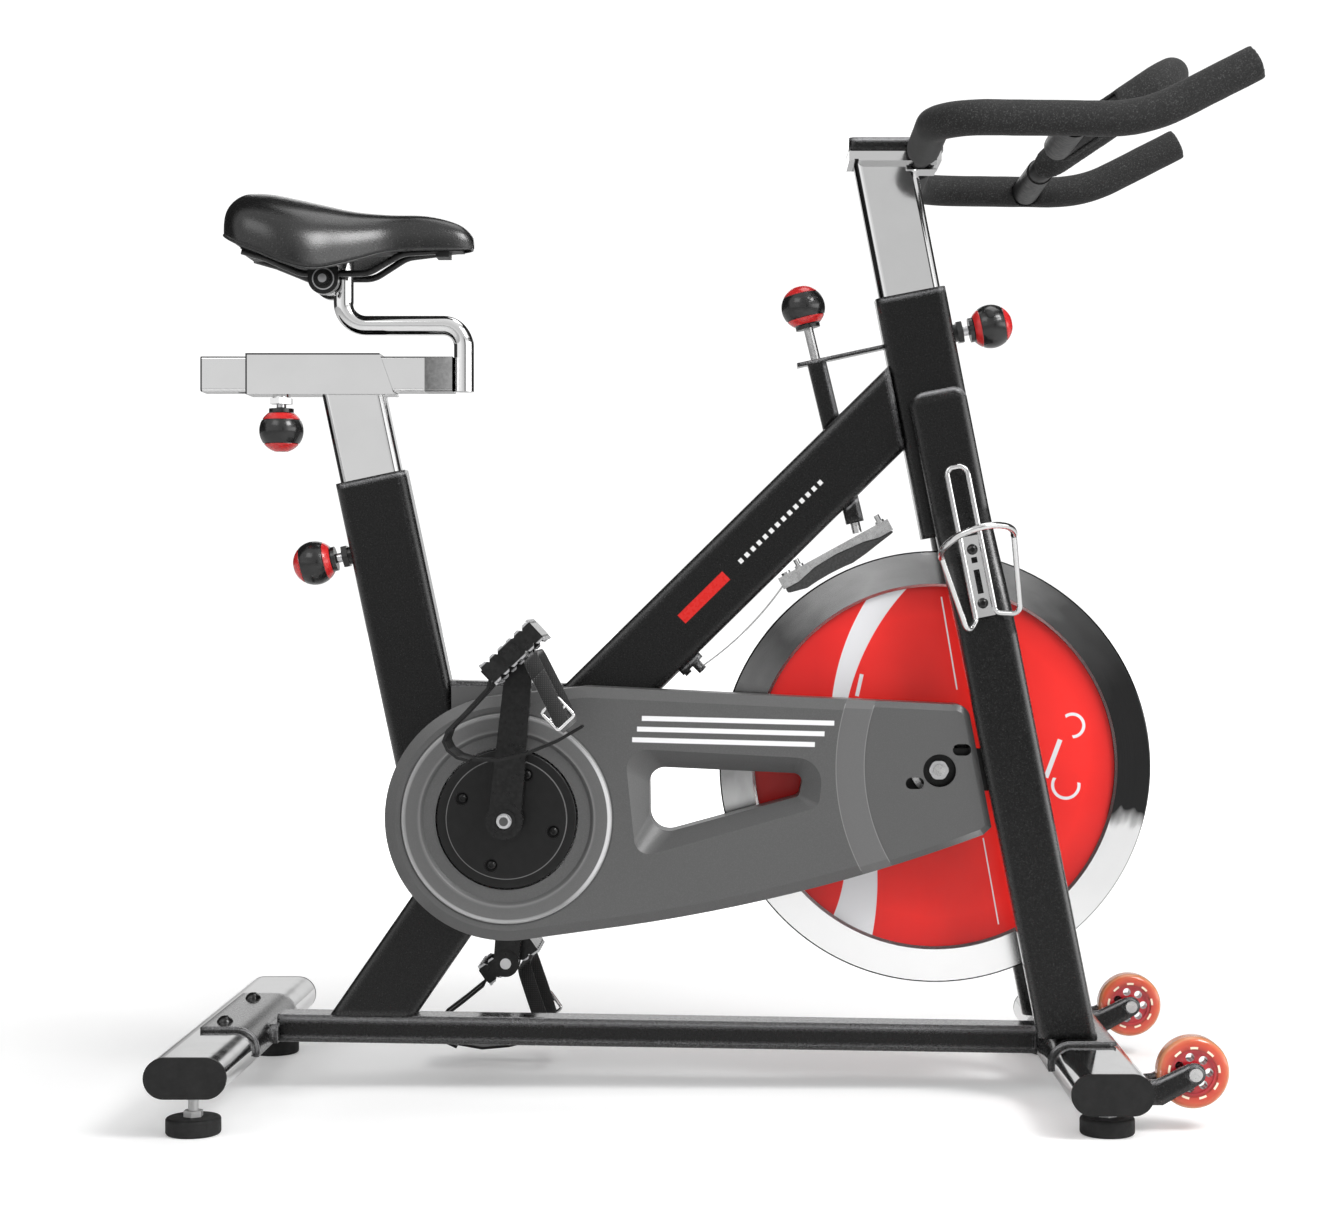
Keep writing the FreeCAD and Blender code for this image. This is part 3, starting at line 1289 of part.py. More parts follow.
def head_post():
    """Oval post with the clamp plate welded on top."""
    up = head_axis()
    top = side(HEAD_TOP)
    post = bar(top - up * 150, top + up * 160, POST_DEPTH, POST_WIDTH, POST_CORNER, POST_WALL)
    post = post.cut(box(-100, 500, -60, 60, 979, 1100))
    ahead = V(up.z, 0, -up.x)
    for i in range(5):
        hole = top - up * (HEAD_PIN_DROP + 20 * (i - 2))
        post = post.cut(rod(hole, hole + ahead * 60, 6.0))
    plate = box(145, 242, -34, 34, 979, 989)
    lug = box(BAR_X - 16, BAR_X + 16, -20, 20, 972, 979)
    plate = plate.fuse(lug).removeSplitter()
    plate = plate.cut(cross_disc(BAR_X, BAR_Z, -60, 60, BAR_R))
    return [post.cut(lug), plate]


def bar_clamp():
    """Black upper clamp plate with two round-headed bolts."""
    plate = box(145, 244, -36, 36, 990, 1003)
    upright = [e for e in plate.Edges if e.BoundBox.ZLength > 12]
    plate = plate.makeFillet(8.0, upright)
    hump = cross_disc(BAR_X, BAR_Z, -36, 36, BAR_R + 6.5)
    hump = hump.common(box(BAR_X - 22, BAR_X + 22, -36, 36, 990, 1010))
    plate = plate.fuse(hump).removeSplitter()
    plate = plate.cut(cross_disc(BAR_X, BAR_Z, -60, 60, BAR_R))
    bolts = []
    for x in (157.0, 190.0):
        bolts.append(dome_bolt(V(x, 0, 1003), V(0, 0, 1), 8.0, 6.0))
    return [plate] + bolts


def grip_points(sign):
    k = math.tan(math.radians(GRIP_RISE))
    return [V(BAR_X, 0, BAR_Z), V(BAR_X, sign * GRIP_Y, BAR_Z),
            V(GRIP_RISE_X, sign * GRIP_Y, GRIP_Z),
            V(GRIP_END_X, sign * GRIP_Y, GRIP_Z + (GRIP_END_X - GRIP_RISE_X) * k)]


def grip_route(sign, trim_start, trim_end):
    """Centre line of one side bar, with its ends trimmed back."""
    points = grip_points(sign)
    first = points[1] - points[0]
    first.normalize()
    last = points[-1] - points[-2]
    last.normalize()
    points[0] = points[0] + first * trim_start
    points[-1] = points[-1] - last * trim_end
    return route(points, [52.0, 150.0])


def loop_points():
    x_leg = LOOP_APEX[0]
    z_leg = LOOP_APEX[1]
    return [V(LOOP_X, -GRIP_Y, LOOP_Z), V(LOOP_X, -LOOP_HALF, LOOP_Z), V(x_leg, -LOOP_HALF, z_leg),
            V(x_leg, LOOP_HALF, z_leg), V(LOOP_X, LOOP_HALF, LOOP_Z), V(LOOP_X, GRIP_Y, LOOP_Z)]


def loop_wire():
    return route(loop_points(), [26.0, 44.0, 44.0, 26.0])


def handlebar_tube():
    """Steel core: clamped cross bar, two side bars and the centre loop."""
    right = sweep(grip_route(-1, 0.0, 3.0), BAR_R)
    left = sweep(grip_route(1, 0.0, 3.0), BAR_R)
    core = right.fuse(left)
    centre = sweep(loop_wire(), BAR_R)
    for sign in (-1, 1):
        stub_start = V(LOOP_X, sign * (GRIP_Y - 12), LOOP_Z)
        stub_end = V(LOOP_X, sign * (LOOP_HALF + 26), LOOP_Z)
        stub = Part.makeCone(15.2, 14.2, (stub_end - stub_start).Length, stub_start,
                             stub_end - stub_start)
        centre = centre.fuse(stub)
    return core.fuse(centre)


def side_grip(sign):
    """Foam sleeve along one side bar, closed by a rounded end."""
    wire = grip_route(sign, 42.0, 0.0)
    foam = sweep(wire, FOAM_R)
    axis_y = sign * GRIP_Y
    foam = foam.cut(cross_disc(LOOP_X, LOOP_Z, min(axis_y, 0), max(axis_y, 0), 15.5))
    return foam.cut(sweep(grip_route(sign, 40.0, 2.8), BAR_R + 0.1))


def loop_grip():
    """Foam sleeve on the centre loop, between the two smooth stubs."""
    foam = sweep(loop_wire(), FOAM_R)
    low = LOOP_HALF + 2
    for sign in (-1, 1):
        far = sign * 300.0
        near = sign * low
        foam = foam.cut(box(250, 420, min(near, far), max(near, far), 900, 1060))
    return foam.cut(sweep(loop_wire(), BAR_R + 0.1))


# ---------------------------------------------------------------- rollers and bottle cage

def roller_fork(sign):
    """Bracket from the front stabiliser with one arm each side of a roller."""
    x_stab = FRONT_STAB_X + STAB_DEPTH / 2
    arms = []
    for offset in (-1, 1):
        y_mid = sign * ROLLER_Y + offset * (ROLLER_HALF + 3.0)
        y0 = y_mid - 1.75
        y1 = y_mid + 1.75
        outline = [(x_stab - 14, FRONT_STAB_Z - 17), (x_stab + 14, FRONT_STAB_Z - 17),
                   (ROLLER_X + 6, ROLLER_Z - 9), (ROLLER_X - 6, ROLLER_Z + 10),
                   (x_stab + 8, FRONT_STAB_Z + 8), (x_stab - 14, FRONT_STAB_Z + 6)]
        arm = prism(outline, y0, y1)
        arm = arm.fuse(cross_disc(ROLLER_X, ROLLER_Z, y0, y1, 10.5)).removeSplitter()
        arm = arm.cut(cross_disc(ROLLER_X, ROLLER_Z, y0 - 1, y1 + 1, 4.02))
        arms.append(arm)
    y_span = ROLLER_HALF + 4.75
    bridge = box(x_stab - 2, x_stab + 1.5, sign * ROLLER_Y - y_span, sign * ROLLER_Y + y_span,
                 FRONT_STAB_Z - 17, FRONT_STAB_Z + 7)
    fork = bridge.fuse(arms)
    half = STAB_LENGTH / 2
    centre = V(FRONT_STAB_X, -half, FRONT_STAB_Z)
    tube = rounded_outline(centre, V(1, 0, 0), V(0, 0, 1), STAB_DEPTH / 2, STAB_HEIGHT / 2,
                           STAB_HEIGHT / 2 - 0.01)
    fork = fork.cut(Part.Face(tube).extrude(V(0, 2 * half, 0)))
    return max(fork.Solids, key=lambda s: s.Volume)


def roller_axle(sign):
    y0 = sign * ROLLER_Y - ROLLER_HALF - 7
    y1 = sign * ROLLER_Y + ROLLER_HALF + 7
    pin = cross_disc(ROLLER_X, ROLLER_Z, y0, y1, 4.0)
    head = cross_disc(ROLLER_X, ROLLER_Z, y0 - 3, y0 + 2.2, 6.5)
    nut = cross_disc(ROLLER_X, ROLLER_Z, y1 - 2.2, y1 + 3, 6.5)
    return pin.fuse([head, nut])


def roller(sign):
    """Skate wheel: cast tyre on a spoked hub."""
    y0 = sign * ROLLER_Y - ROLLER_HALF
    y1 = sign * ROLLER_Y + ROLLER_HALF
    tyre = cross_disc(ROLLER_X, ROLLER_Z, y0, y1, ROLLER_R)
    edges = [e for e in tyre.Edges if e.BoundBox.YLength < 0.01]
    tyre = tyre.makeFillet(6.5, edges)
    tyre = tyre.cut(cross_disc(ROLLER_X, ROLLER_Z, y0 - 1, y1 + 1, ROLLER_HUB_R))
    rim = cross_disc(ROLLER_X, ROLLER_Z, y0 + 2, y1 - 2, ROLLER_HUB_R)
    rim = rim.cut(cross_disc(ROLLER_X, ROLLER_Z, y0, y1, ROLLER_HUB_R - 3.5))
    web = cross_disc(ROLLER_X, ROLLER_Z, y0 + 4, y1 - 4, ROLLER_HUB_R - 3)
    for i in range(7):
        a = math.radians(i * 360.0 / 7)
        x = ROLLER_X + 15.2 * math.cos(a)
        z = ROLLER_Z + 15.2 * math.sin(a)
        web = web.cut(cross_disc(x, z, y0, y1, 4.3))
    boss = cross_disc(ROLLER_X, ROLLER_Z, y0 + 0.6, y1 - 0.6, 9.5)
    hub = web.fuse([rim, boss]).removeSplitter()
    hub = hub.cut(cross_disc(ROLLER_X, ROLLER_Z, y0 - 1, y1 + 1, 4.0 + RUNNING_FIT))
    return [tyre, hub]


def cage_point(s, p, y):
    """Point on the leg's outer side: s down the leg from z 575, p forward."""
    d = lean(-FORK_TILT)
    e = V(d.z, 0, -d.x)
    c = fork_centre(575, 0)
    q = c - d * s + e * p
    return V(q.x, y, q.z)


def bottle_cage():
    """Bent wire cage: closed spine, two foot hooks, two sides and a front hoop."""
    y_back = CAGE_Y - 3 - CAGE_WIRE_R
    y_mid = CAGE_Y - 44
    right_side = route([cage_point(-82, -4, y_back), cage_point(-82, 10.5, y_back),
                        cage_point(72, 10.5, y_back), cage_point(78, 34, y_back - 12),
                        cage_point(-2, 40, y_mid)], [9.0, 7.0, 9.0])
    left_side = route([cage_point(-82, -4, y_back), cage_point(-82, -10.5, y_back),
                       cage_point(76, -10.5, y_back), cage_point(88, -22, y_back - 12),
                       cage_point(6, -36, y_mid)], [6.4, 5.0, 8.0])
    hoop = Part.Wire([Part.Arc(cage_point(6, -36, y_mid), cage_point(-16, 3, CAGE_Y - 82),
                               cage_point(-2, 40, y_mid)).toShape()])
    wire = sweep(right_side, CAGE_WIRE_R).fuse(sweep(left_side, CAGE_WIRE_R))
    wire = wire.fuse(sweep(hoop, CAGE_WIRE_R + 0.6))
    for s, p in ((6, -36), (-2, 40)):
        wire = wire.fuse(Part.makeSphere(CAGE_WIRE_R + 0.6, cage_point(s, p, y_mid)))
    low, high = CAGE_PLATE
    mid_y = CAGE_Y - CAGE_PLATE_T / 2
    plate = bar(cage_point(low, 0, mid_y), cage_point(high, 0, mid_y), 19, CAGE_PLATE_T, 1.2)
    for s0, s1 in ((12.0, 18.0), (25.0, 50.0)):
        plate = plate.cut(bar(cage_point(s0, 0, mid_y), cage_point(s1, 0, mid_y), 6,
                              2 * CAGE_PLATE_T, 1.0))
    for s in (low, high - 8):
        lug_y = CAGE_Y - CAGE_PLATE_T - 1
        wire = wire.fuse(bar(cage_point(s, 0, lug_y), cage_point(s + 8, 0, lug_y), 22, 4, 1.2))
    return wire.fuse(plate)


def bottle_cage_bolts():
    bolts = []
    for s in CAGE_BOLTS:
        bolts.append(dome_bolt(cage_point(s, 0, CAGE_Y - CAGE_PLATE_T), V(0, -1, 0), 5.6, 4.0))
    return bolts


# ---------------------------------------------------------------- knobs

def seat_pin_frame():
    """Centre of the seat-height knob and the direction it is pulled."""
    up = seat_axis()
    out = V(-up.z, 0, up.x)
    centre = side(SEAT_TOP) - up * SEAT_PIN_DROP + out * (TUBE_DEPTH / 2 + KNOB_REACH)
    return centre, out


def head_pin_frame():
    up = head_axis()
    out = V(up.z, 0, -up.x)
    centre = side(HEAD_TOP) - up * HEAD_PIN_DROP + out * (TUBE_DEPTH / 2 + KNOB_REACH)
    return centre, out


def pin_bushes():
    """Threaded collars of the three pull pins."""
    pieces = []
    for centre, out in (seat_pin_frame(), head_pin_frame()):
        face = centre - out * KNOB_REACH
        bush = ring(face, face + out * 10, 9.5, PIN_R + 0.6)
        nut = hex_nut(face + out * 4, face + out * 10, 22.0, PIN_R + 0.6)
        pieces.append(bush.fuse(nut).removeSplitter())
    return pieces


def slide_bush():
    low = SLIDE_Z - SLEEVE_SIDE / 2
    top = V(SLIDE_PIN_X, 0, low)
    end = V(SLIDE_PIN_X, 0, low - 9)
    nut = hex_nut(V(SLIDE_PIN_X, 0, low - 3), end, 22.0, PIN_R + 0.6)
    return ring(top, end, 9.5, PIN_R + 0.6).fuse(nut)


def build():
    os.makedirs("parts", exist_ok=True)
    stabs = ((REAR_STAB_X, REAR_STAB_Z, "rear"), (FRONT_STAB_X, FRONT_STAB_Z, "front"))
    save("stabiliser_tubes", [stabiliser_tube(x, z) for x, z, _ in stabs])
    caps = []
    for x, z, where in stabs:
        for sign, hand in ((-1, "right"), (1, "left")):
            caps.append(stabiliser_cap(x, z, sign))
            save("foot_%s_%s" % (where, hand), levelling_foot(x, z, sign * FOOT_Y))
    save("stabiliser_caps", caps)
    save("base_beam", base_beam())
    save("rear_bracket", rear_bracket())
    save("front_bracket", front_bracket())
    save("frame_fasteners", bracket_bolts() + axle_nuts() + bottle_cage_bolts() + pin_bushes())
    save("rear_stay", rear_stay())
    save("seat_tube", seat_tube())
    save("cross_tube", cross_tube())
    save("main_tube", main_tube())
    save("bottom_bracket", bottom_bracket())
    save("head_tube", head_tube())
    save("tube_liners", tube_liners())
    save("fork_leg_right", fork_leg(-1))
    save("fork_leg_left", fork_leg(1))
    save("axle_plates", axle_plates())
    save("flywheel_rim", flywheel_rim())
    save("flywheel_disc", flywheel_disc())
    save("flywheel_hub", flywheel_hub())
    save("flywheel_axle", flywheel_axle())
    save("drive_belt", drive_belt())
    save("drive_pulley", drive_pulley())
    save("pulley_cover", pulley_cover())
    save("crank_arms", [crank_arm(1), crank_arm(-1)])
    save("crank_axles", crank_axles())
    right = PedalFrame(1, RIGHT_PEDAL_ANGLE)
    left = PedalFrame(-1, LEFT_PEDAL_ANGLE)
    for f, hand in ((right, "right"), (left, "left")):
        save("pedal_cage_" + hand, pedal_cage(f))
        save("toe_clip_" + hand, toe_clip(f))
        save("toe_strap_" + hand, toe_strap(f))
    save("guard_outer", guard_outer())
    save("guard_inner", guard_inner())
    save("brake_mounts", brake_mounts())
    save("brake_carrier", brake_carrier())
    save("brake_pad", brake_pad())
    knob, rod_pin = knob_shapes(rod_point(BRAKE_KNOB_Z), lean(ROD_TILT), ROD_LENGTH, ROD_R)
    save("brake_knob", knob)
    save("brake_rod", rod_pin)
    centre, out = seat_pin_frame()
    save("seat_height_knob", list(knob_shapes(centre, out, PULL_PIN, PIN_R)))
    centre, out = head_pin_frame()
    save("bar_height_knob", list(knob_shapes(centre, out, PULL_PIN, PIN_R)))
    slide_centre = V(SLIDE_PIN_X, 0, SLIDE_KNOB_Z)
    save("slide_knob", list(knob_shapes(slide_centre, V(0, 0, -1), SLIDE_PIN, PIN_R)))
    save("seat_post", seat_post() + [slide_bush()])
    save("seat_slide", seat_slide())
    save("saddle_stem", saddle_stem())
    save("saddle_rails", saddle_rails())
    save("saddle_shell", saddle_shell())
    save("saddle_pad", saddle_pad())
    save("head_post", head_post())
    save("bar_clamp", bar_clamp())
    save("handlebar_tube", handlebar_tube())
    save("handlebar_grips", [side_grip(-1), side_grip(1), loop_grip()])
    save("roller_forks", [roller_fork(-1), roller_fork(1)])
    save("roller_axles", [roller_axle(-1), roller_axle(1)])
    save("roller_right", roller(-1))
    save("roller_left", roller(1))
    save("bottle_cage", bottle_cage())


build()
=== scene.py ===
import json
import math

import bmesh
import bpy
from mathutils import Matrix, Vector


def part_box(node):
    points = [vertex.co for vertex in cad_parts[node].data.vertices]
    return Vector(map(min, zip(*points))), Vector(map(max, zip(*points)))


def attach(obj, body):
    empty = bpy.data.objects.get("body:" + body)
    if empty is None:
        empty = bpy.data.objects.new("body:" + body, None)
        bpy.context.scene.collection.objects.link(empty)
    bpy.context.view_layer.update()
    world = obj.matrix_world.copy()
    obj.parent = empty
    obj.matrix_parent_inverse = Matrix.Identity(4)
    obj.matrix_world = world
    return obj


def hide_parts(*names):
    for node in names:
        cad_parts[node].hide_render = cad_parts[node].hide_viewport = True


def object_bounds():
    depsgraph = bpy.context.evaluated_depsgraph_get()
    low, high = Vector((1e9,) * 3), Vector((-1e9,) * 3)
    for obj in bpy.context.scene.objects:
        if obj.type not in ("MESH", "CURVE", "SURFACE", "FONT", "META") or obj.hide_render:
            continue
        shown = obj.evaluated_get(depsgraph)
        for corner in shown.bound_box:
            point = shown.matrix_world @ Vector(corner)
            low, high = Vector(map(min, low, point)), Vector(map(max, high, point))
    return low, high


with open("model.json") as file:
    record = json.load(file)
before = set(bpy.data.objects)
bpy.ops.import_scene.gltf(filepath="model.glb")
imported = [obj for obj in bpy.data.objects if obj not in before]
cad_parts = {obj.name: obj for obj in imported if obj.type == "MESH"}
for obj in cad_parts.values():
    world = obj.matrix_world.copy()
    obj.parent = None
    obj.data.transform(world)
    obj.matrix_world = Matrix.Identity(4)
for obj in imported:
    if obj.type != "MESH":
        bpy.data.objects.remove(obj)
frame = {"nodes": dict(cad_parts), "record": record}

# Indoor spin bike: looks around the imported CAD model. Metres, X forward, Y to the rider's
# left, Z up. Places come from the CAD nodes' boxes, the record's joints and a few sizes below.

CAD_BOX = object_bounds()

MM = 0.001
NODES = frame["nodes"]
JOINTS = {j["name"]: j for j in frame["record"]["behaviour"]["joints"]}


def side_view(place):
    """X and Z of a place: where it lies in the side view."""
    return Vector((place[0], place[2]))


def centre_of(node):
    low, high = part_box(node)
    return (low + high) / 2


# ---- places read from the model ----
GROUND = CAD_BOX[0].z
WHEEL = side_view(JOINTS["flywheel_spin"]["pos_m"])
CRANK = side_view(JOINTS["crank_spin"]["pos_m"])
SADDLE_CLAMP = side_view(JOINTS["saddle_tilt"]["pos_m"])

# ---- sizes of the CAD pieces that the marks and finishes line up with ----
RIM_INNER_R = 190.0 * MM
RIM_OUTER_R = 227.6 * MM
SLEEVE_REAR = -489.0 * MM
SLEEVE_SIDE = 43.0 * MM
CLAMP_PLATE_T = 8.0 * MM
SEAT_TUBE_TOP = (-358.8, 648.8)      # mm, middle of the tube's mouth in the side view
HEAD_TUBE_TOP = (210.6, 843.3)
POST_EDGE = 30.4 * MM                # from a post's axis to the painted dark reflection line along its rear edge
MAIN_TUBE_MIDDLE = (76.3, 604.0)     # mm
MAIN_TUBE_LEAN = math.radians(45.4)  # from vertical
MAIN_TUBE_FACE_Y = -19.9 * MM
GUARD_EDGE_Y = -71.5 * MM
GUARD_FACE_Y = -74.8 * MM
CAGE_BOLTS_Y = -95.0 * MM
FOOT_STEM_Z = 17.1 * MM              # where the rubber pad ends and the stem starts
TOOTH_TIP = 9.6 * MM                 # height of the pedal's worn tooth tips
COVER_STEP_R = 62.0 * MM
GUARD_RING_R = 105.5 * MM

# ---- knobs: node, its joint, and 1 or -1 for the joint's axis pointing out or in ----
KNOBS = [("brake_knob", "brake_push", -1), ("slide_knob", "slide_pin_pull", 1),
         ("seat_height_knob", "seat_pin_pull", 1), ("bar_height_knob", "bar_pin_pull", 1)]

# ---- pedals and straps: hand, side of the bike, and the pedal's angle at rest in degrees ----
PEDALS = [("right", 1, -136.5), ("left", -1, -145.0)]
PEDAL_MIDDLE = 104.0 * MM            # from the bike's middle plane along the pedal's axle
STRAP_WIDTH = 16 * MM
STRAP_T = 1.8 * MM
STRAP_LEAN = 0.30                    # how far the strap leans to the toe for each unit of v
STRAP_BACK = -15.0                   # mm, where it crosses the pedal

# ---- colours of small painted details ----
# painted dark reflection: lines on chrome edges and along the posts' rear edges
PAINTED_DARK_REFLECTION = (0.03, 0.03, 0.03)
# painted shade in a recess
PAINTED_RECESS_SHADE = (0.14, 0.14, 0.14)
BARE_METAL = (0.55, 0.55, 0.56)
BLOCK_RED = (0.60, 0.018, 0.015)
PRINT_WHITE = (0.72, 0.72, 0.72)
GUARD_WHITE = (0.80, 0.80, 0.81)
SOFT_EDGE = 0.3 * MM                 # blur of a painted mark's outline


class PedalFrame:
    """Pedal axes from its joint: u towards the toe, v to the foot side, w outboard."""

    def __init__(self, hand, sign, angle):
        a = math.radians(angle)
        self.u = Vector((math.cos(a), 0, math.sin(a)))
        self.v = Vector((-math.sin(a), 0, math.cos(a)))
        self.w = Vector((0, -sign, 0))
        axle = JOINTS["pedal_" + hand + "_spin"]["pos_m"]
        self.origin = Vector((axle[0], -sign * PEDAL_MIDDLE, axle[2]))

    def at(self, u, v, w):
        """The place u, v and w mm from the pedal's middle."""
        return self.origin + (self.u * u + self.v * v + self.w * w) * MM


# ------------------------------------------------------------------ camera

def make_camera():
    """Side view from the bike's right, a little below the middle, as a long lens sees it."""
    data = bpy.data.cameras.new("camera")
    data.sensor_width = 36.0
    data.lens = 66.9                  # mm
    data.shift_x = -0.0606
    data.shift_y = -0.0155
    data.clip_end = 100.0
    camera = bpy.data.objects.new("camera", data)
    camera.location = (0.031, -2.6, 0.5275)
    camera.rotation_euler = (math.radians(90), 0, 0)
    bpy.context.collection.objects.link(camera)
    bpy.context.scene.camera = camera


# ------------------------------------------------------------------ material graphs

class Nodes:
    """Short calls that add nodes to a tree."""

    def __init__(self, tree):
        self.tree = tree

    def put(self, socket, value):
        """Links or sets a socket; a colour may be three numbers."""
        if isinstance(value, bpy.types.NodeSocket):
            self.tree.links.new(value, socket)
        elif isinstance(value, (tuple, list)) and len(value) == 3 and socket.type == "RGBA":
            socket.default_value = (*value, 1.0)
        else:
            socket.default_value = value

    def add(self, kind, *values, **settings):
        node = self.tree.nodes.new("ShaderNode" + kind)
        for key, value in settings.items():
            setattr(node, key, value)
        for i, value in enumerate(values):
            if value is not None:
                self.put(node.inputs[i], value)
        return node

    def math(self, operation, *values, clamp=False):
        return self.add("Math", *values, operation=operation, use_clamp=clamp).outputs[0]

    def dot(self, vector, direction):
        node = self.add("VectorMath", vector, direction, operation="DOT_PRODUCT")
        return node.outputs["Value"]

    def ramp(self, factor, *stops):
        """Colours or greys against positions: (place, colour) pairs."""
        node = self.add("ValToRGB", factor)
        elements = node.color_ramp.elements
        while len(elements) < len(stops):
            elements.new(0.5)
        for element, (place, color) in zip(elements, stops):
            element.position = place
            element.color = (*color, 1.0) if isinstance(color, tuple) else (color,) * 3 + (1.0,)
        return node.outputs["Color"]

    def range(self, value, low, high, to_low=0.0, to_high=1.0):
        return self.add("MapRange", value, low, high, to_low, to_high).outputs[0]

    def mix(self, factor, first, second):
        node = self.add("Mix", data_type="RGBA")
        colors = [socket for socket in node.inputs if socket.type == "RGBA"]
        self.put(node.inputs["Factor"], factor)
        self.put(colors[0], first)
        self.put(colors[1], second)
        return next(socket for socket in node.outputs if socket.type == "RGBA")

    def all_of(self, *masks):
        result = masks[0]
        for mask in masks[1:]:
            result = self.math("MULTIPLY", result, mask)
        return result

    def any_of(self, *masks):
        result = masks[0]
        for mask in masks[1:]:
            result = self.math("MAXIMUM", result, mask)
        return result


class Graph(Nodes):
    """A material with its shader, and masks for marks that lie in the side view."""

    def __init__(self, name, metallic=0.0, roughness=0.5, **shader):
        self.material = bpy.data.materials.new(name)
        self.material.use_nodes = True
        super().__init__(self.material.node_tree)
        self.shader = self.tree.nodes["Principled BSDF"]
        self.set("Metallic", metallic)
        self.set("Roughness", roughness)
        for key, value in shader.items():
            self.set(key.replace("_", " "), value)

    def set(self, socket, value):
        self.put(self.shader.inputs[socket], value)

    def paint_over(self, mask, color):
        """Lays a colour over the base colour where the mask is 1."""
        base = self.shader.inputs["Base Color"].links[0].from_socket
        self.set("Base Color", self.mix(mask, base, color))

    def make_bare(self, mask, color):
        """Turns the surface into bare metal where the mask is 1."""
        self.paint_over(mask, color)
        self.set("Metallic", mask)

    def coord(self):
        """Object coordinates: metres in the bike's own frame at rest."""
        return self.add("TexCoord").outputs["Object"]

    def plane(self):
        """X and Z of the point, for marks that lie in the side view."""
        node = self.add("SeparateXYZ", self.coord())
        return node.outputs["X"], node.outputs["Z"]

    # ---- patterns ----

    def noise(self, scale, detail=2.0, rough=0.5, vector=None):
        node = self.add("TexNoise")
        node.inputs["Scale"].default_value = scale
        node.inputs["Detail"].default_value = detail
        node.inputs["Roughness"].default_value = rough
        self.put(node.inputs["Vector"], vector or self.coord())
        return node.outputs["Fac"]

    def spread(self, factor, to_low, to_high):
        """A noise's usual span, 0.3 to 0.7, brought to another span."""
        return self.range(factor, 0.3, 0.7, to_low, to_high)

    def cells(self, scale):
        node = self.add("TexVoronoi")
        node.inputs["Scale"].default_value = scale
        self.put(node.inputs["Vector"], self.coord())
        return node.outputs["Distance"]

    def wave(self, scale, direction):
        node = self.add("TexWave", bands_direction=direction)
        node.inputs["Scale"].default_value = scale
        self.put(node.inputs["Vector"], self.coord())
        return node.outputs["Fac"]

    # ---- relief and edges ----

    def bumped(self, height, distance, strength=1.0, normal=None):
        node = self.add("Bump")
        if normal is not None:
            self.put(node.inputs["Normal"], normal)
        node.inputs["Strength"].default_value = strength
        node.inputs["Distance"].default_value = distance
        self.put(node.inputs["Height"], height)
        return node.outputs[0]

    def bump(self, height, distance, strength=1.0, normal=None):
        self.set("Normal", self.bumped(height, distance, strength, normal))

    def rounded(self, radius):
        """Normal that turns smoothly round sharp edges."""
        return self.add("Bevel", radius, samples=8).outputs[0]

    def painted_edge_highlight(self, soft):
        """1 on a thin line inside upper and front edges, where a painted highlight stands for a
        rounded corner catching light.
        """
        flat = self.add("NewGeometry").outputs["True Normal"]
        line = self.ramp(self.dot(soft, flat), (0.79, 0.0), (0.86, 1.0), (0.94, 1.0), (0.975, 0.0))
        upward = self.range(self.dot(soft, (0.40, 0.0, 0.92)), 0.0, 0.25)
        return self.all_of(line, upward)

    def shine_at_edges(self, flat, edge, normal=None):
        """Clear coat that is weak face-on and strong on rounded edges."""
        facing = self.add("LayerWeight", 0.5, normal).outputs["Facing"]
        self.set("Coat Weight", self.range(facing, 0.03, 0.20, flat, edge))

    # ---- masks ----

    def near_side(self, y):
        """1 where the point lies further out on the bike's right than y."""
        across = self.add("SeparateXYZ", self.coord()).outputs["Y"]
        return self.range(across, y, y + SOFT_EDGE, 1.0, 0.0)

    def reach(self, x, z, centre):
        """Distance from an axis that runs across the bike."""
        dx = self.math("SUBTRACT", x, centre[0])
        dz = self.math("SUBTRACT", z, centre[1])
        square = self.math("ADD", self.math("MULTIPLY", dx, dx), self.math("MULTIPLY", dz, dz))
        return self.math("SQRT", square)

    def angle(self, x, z, centre):
        """Angle round an axis across the bike, in radians from straight ahead."""
        return self.math("ARCTAN2", self.math("SUBTRACT", z, centre[1]),
                         self.math("SUBTRACT", x, centre[0]))

    def around(self, x, z, centre):
        """The same angle as a share: 0 at the rear, 0.25 below, 0.5 ahead, 0.75 above."""
        return self.range(self.angle(x, z, centre), -math.pi, math.pi)

    def inside_circle(self, x, z, centre, radius):
        """1 inside a circle of the side view and 0 outside, with a thin soft edge."""
        reach = self.reach(x, z, centre)
        return self.range(reach, radius - SOFT_EDGE, radius + SOFT_EDGE, 1.0, 0.0)

    def outside_circle(self, x, z, centre, radius):
        return self.math("SUBTRACT", 1.0, self.inside_circle(x, z, centre, radius))

    def ring(self, x, z, centre, radius, width):
        """1 on a thin ring of the side view."""
        outer = self.inside_circle(x, z, centre, radius + width / 2)
        inner = self.inside_circle(x, z, centre, radius - width / 2)
        return self.math("SUBTRACT", outer, inner)

    def ahead_of(self, x, z, point, direction):
        """1 on the side of a line that direction points to."""
        length = math.hypot(*direction)
        nx, nz = direction[0] / length, direction[1] / length
        value = self.math("ADD", self.math("MULTIPLY", x, nx), self.math("MULTIPLY", z, nz))
        edge = point[0] * nx + point[1] * nz
        return self.range(value, edge - SOFT_EDGE, edge + SOFT_EDGE)

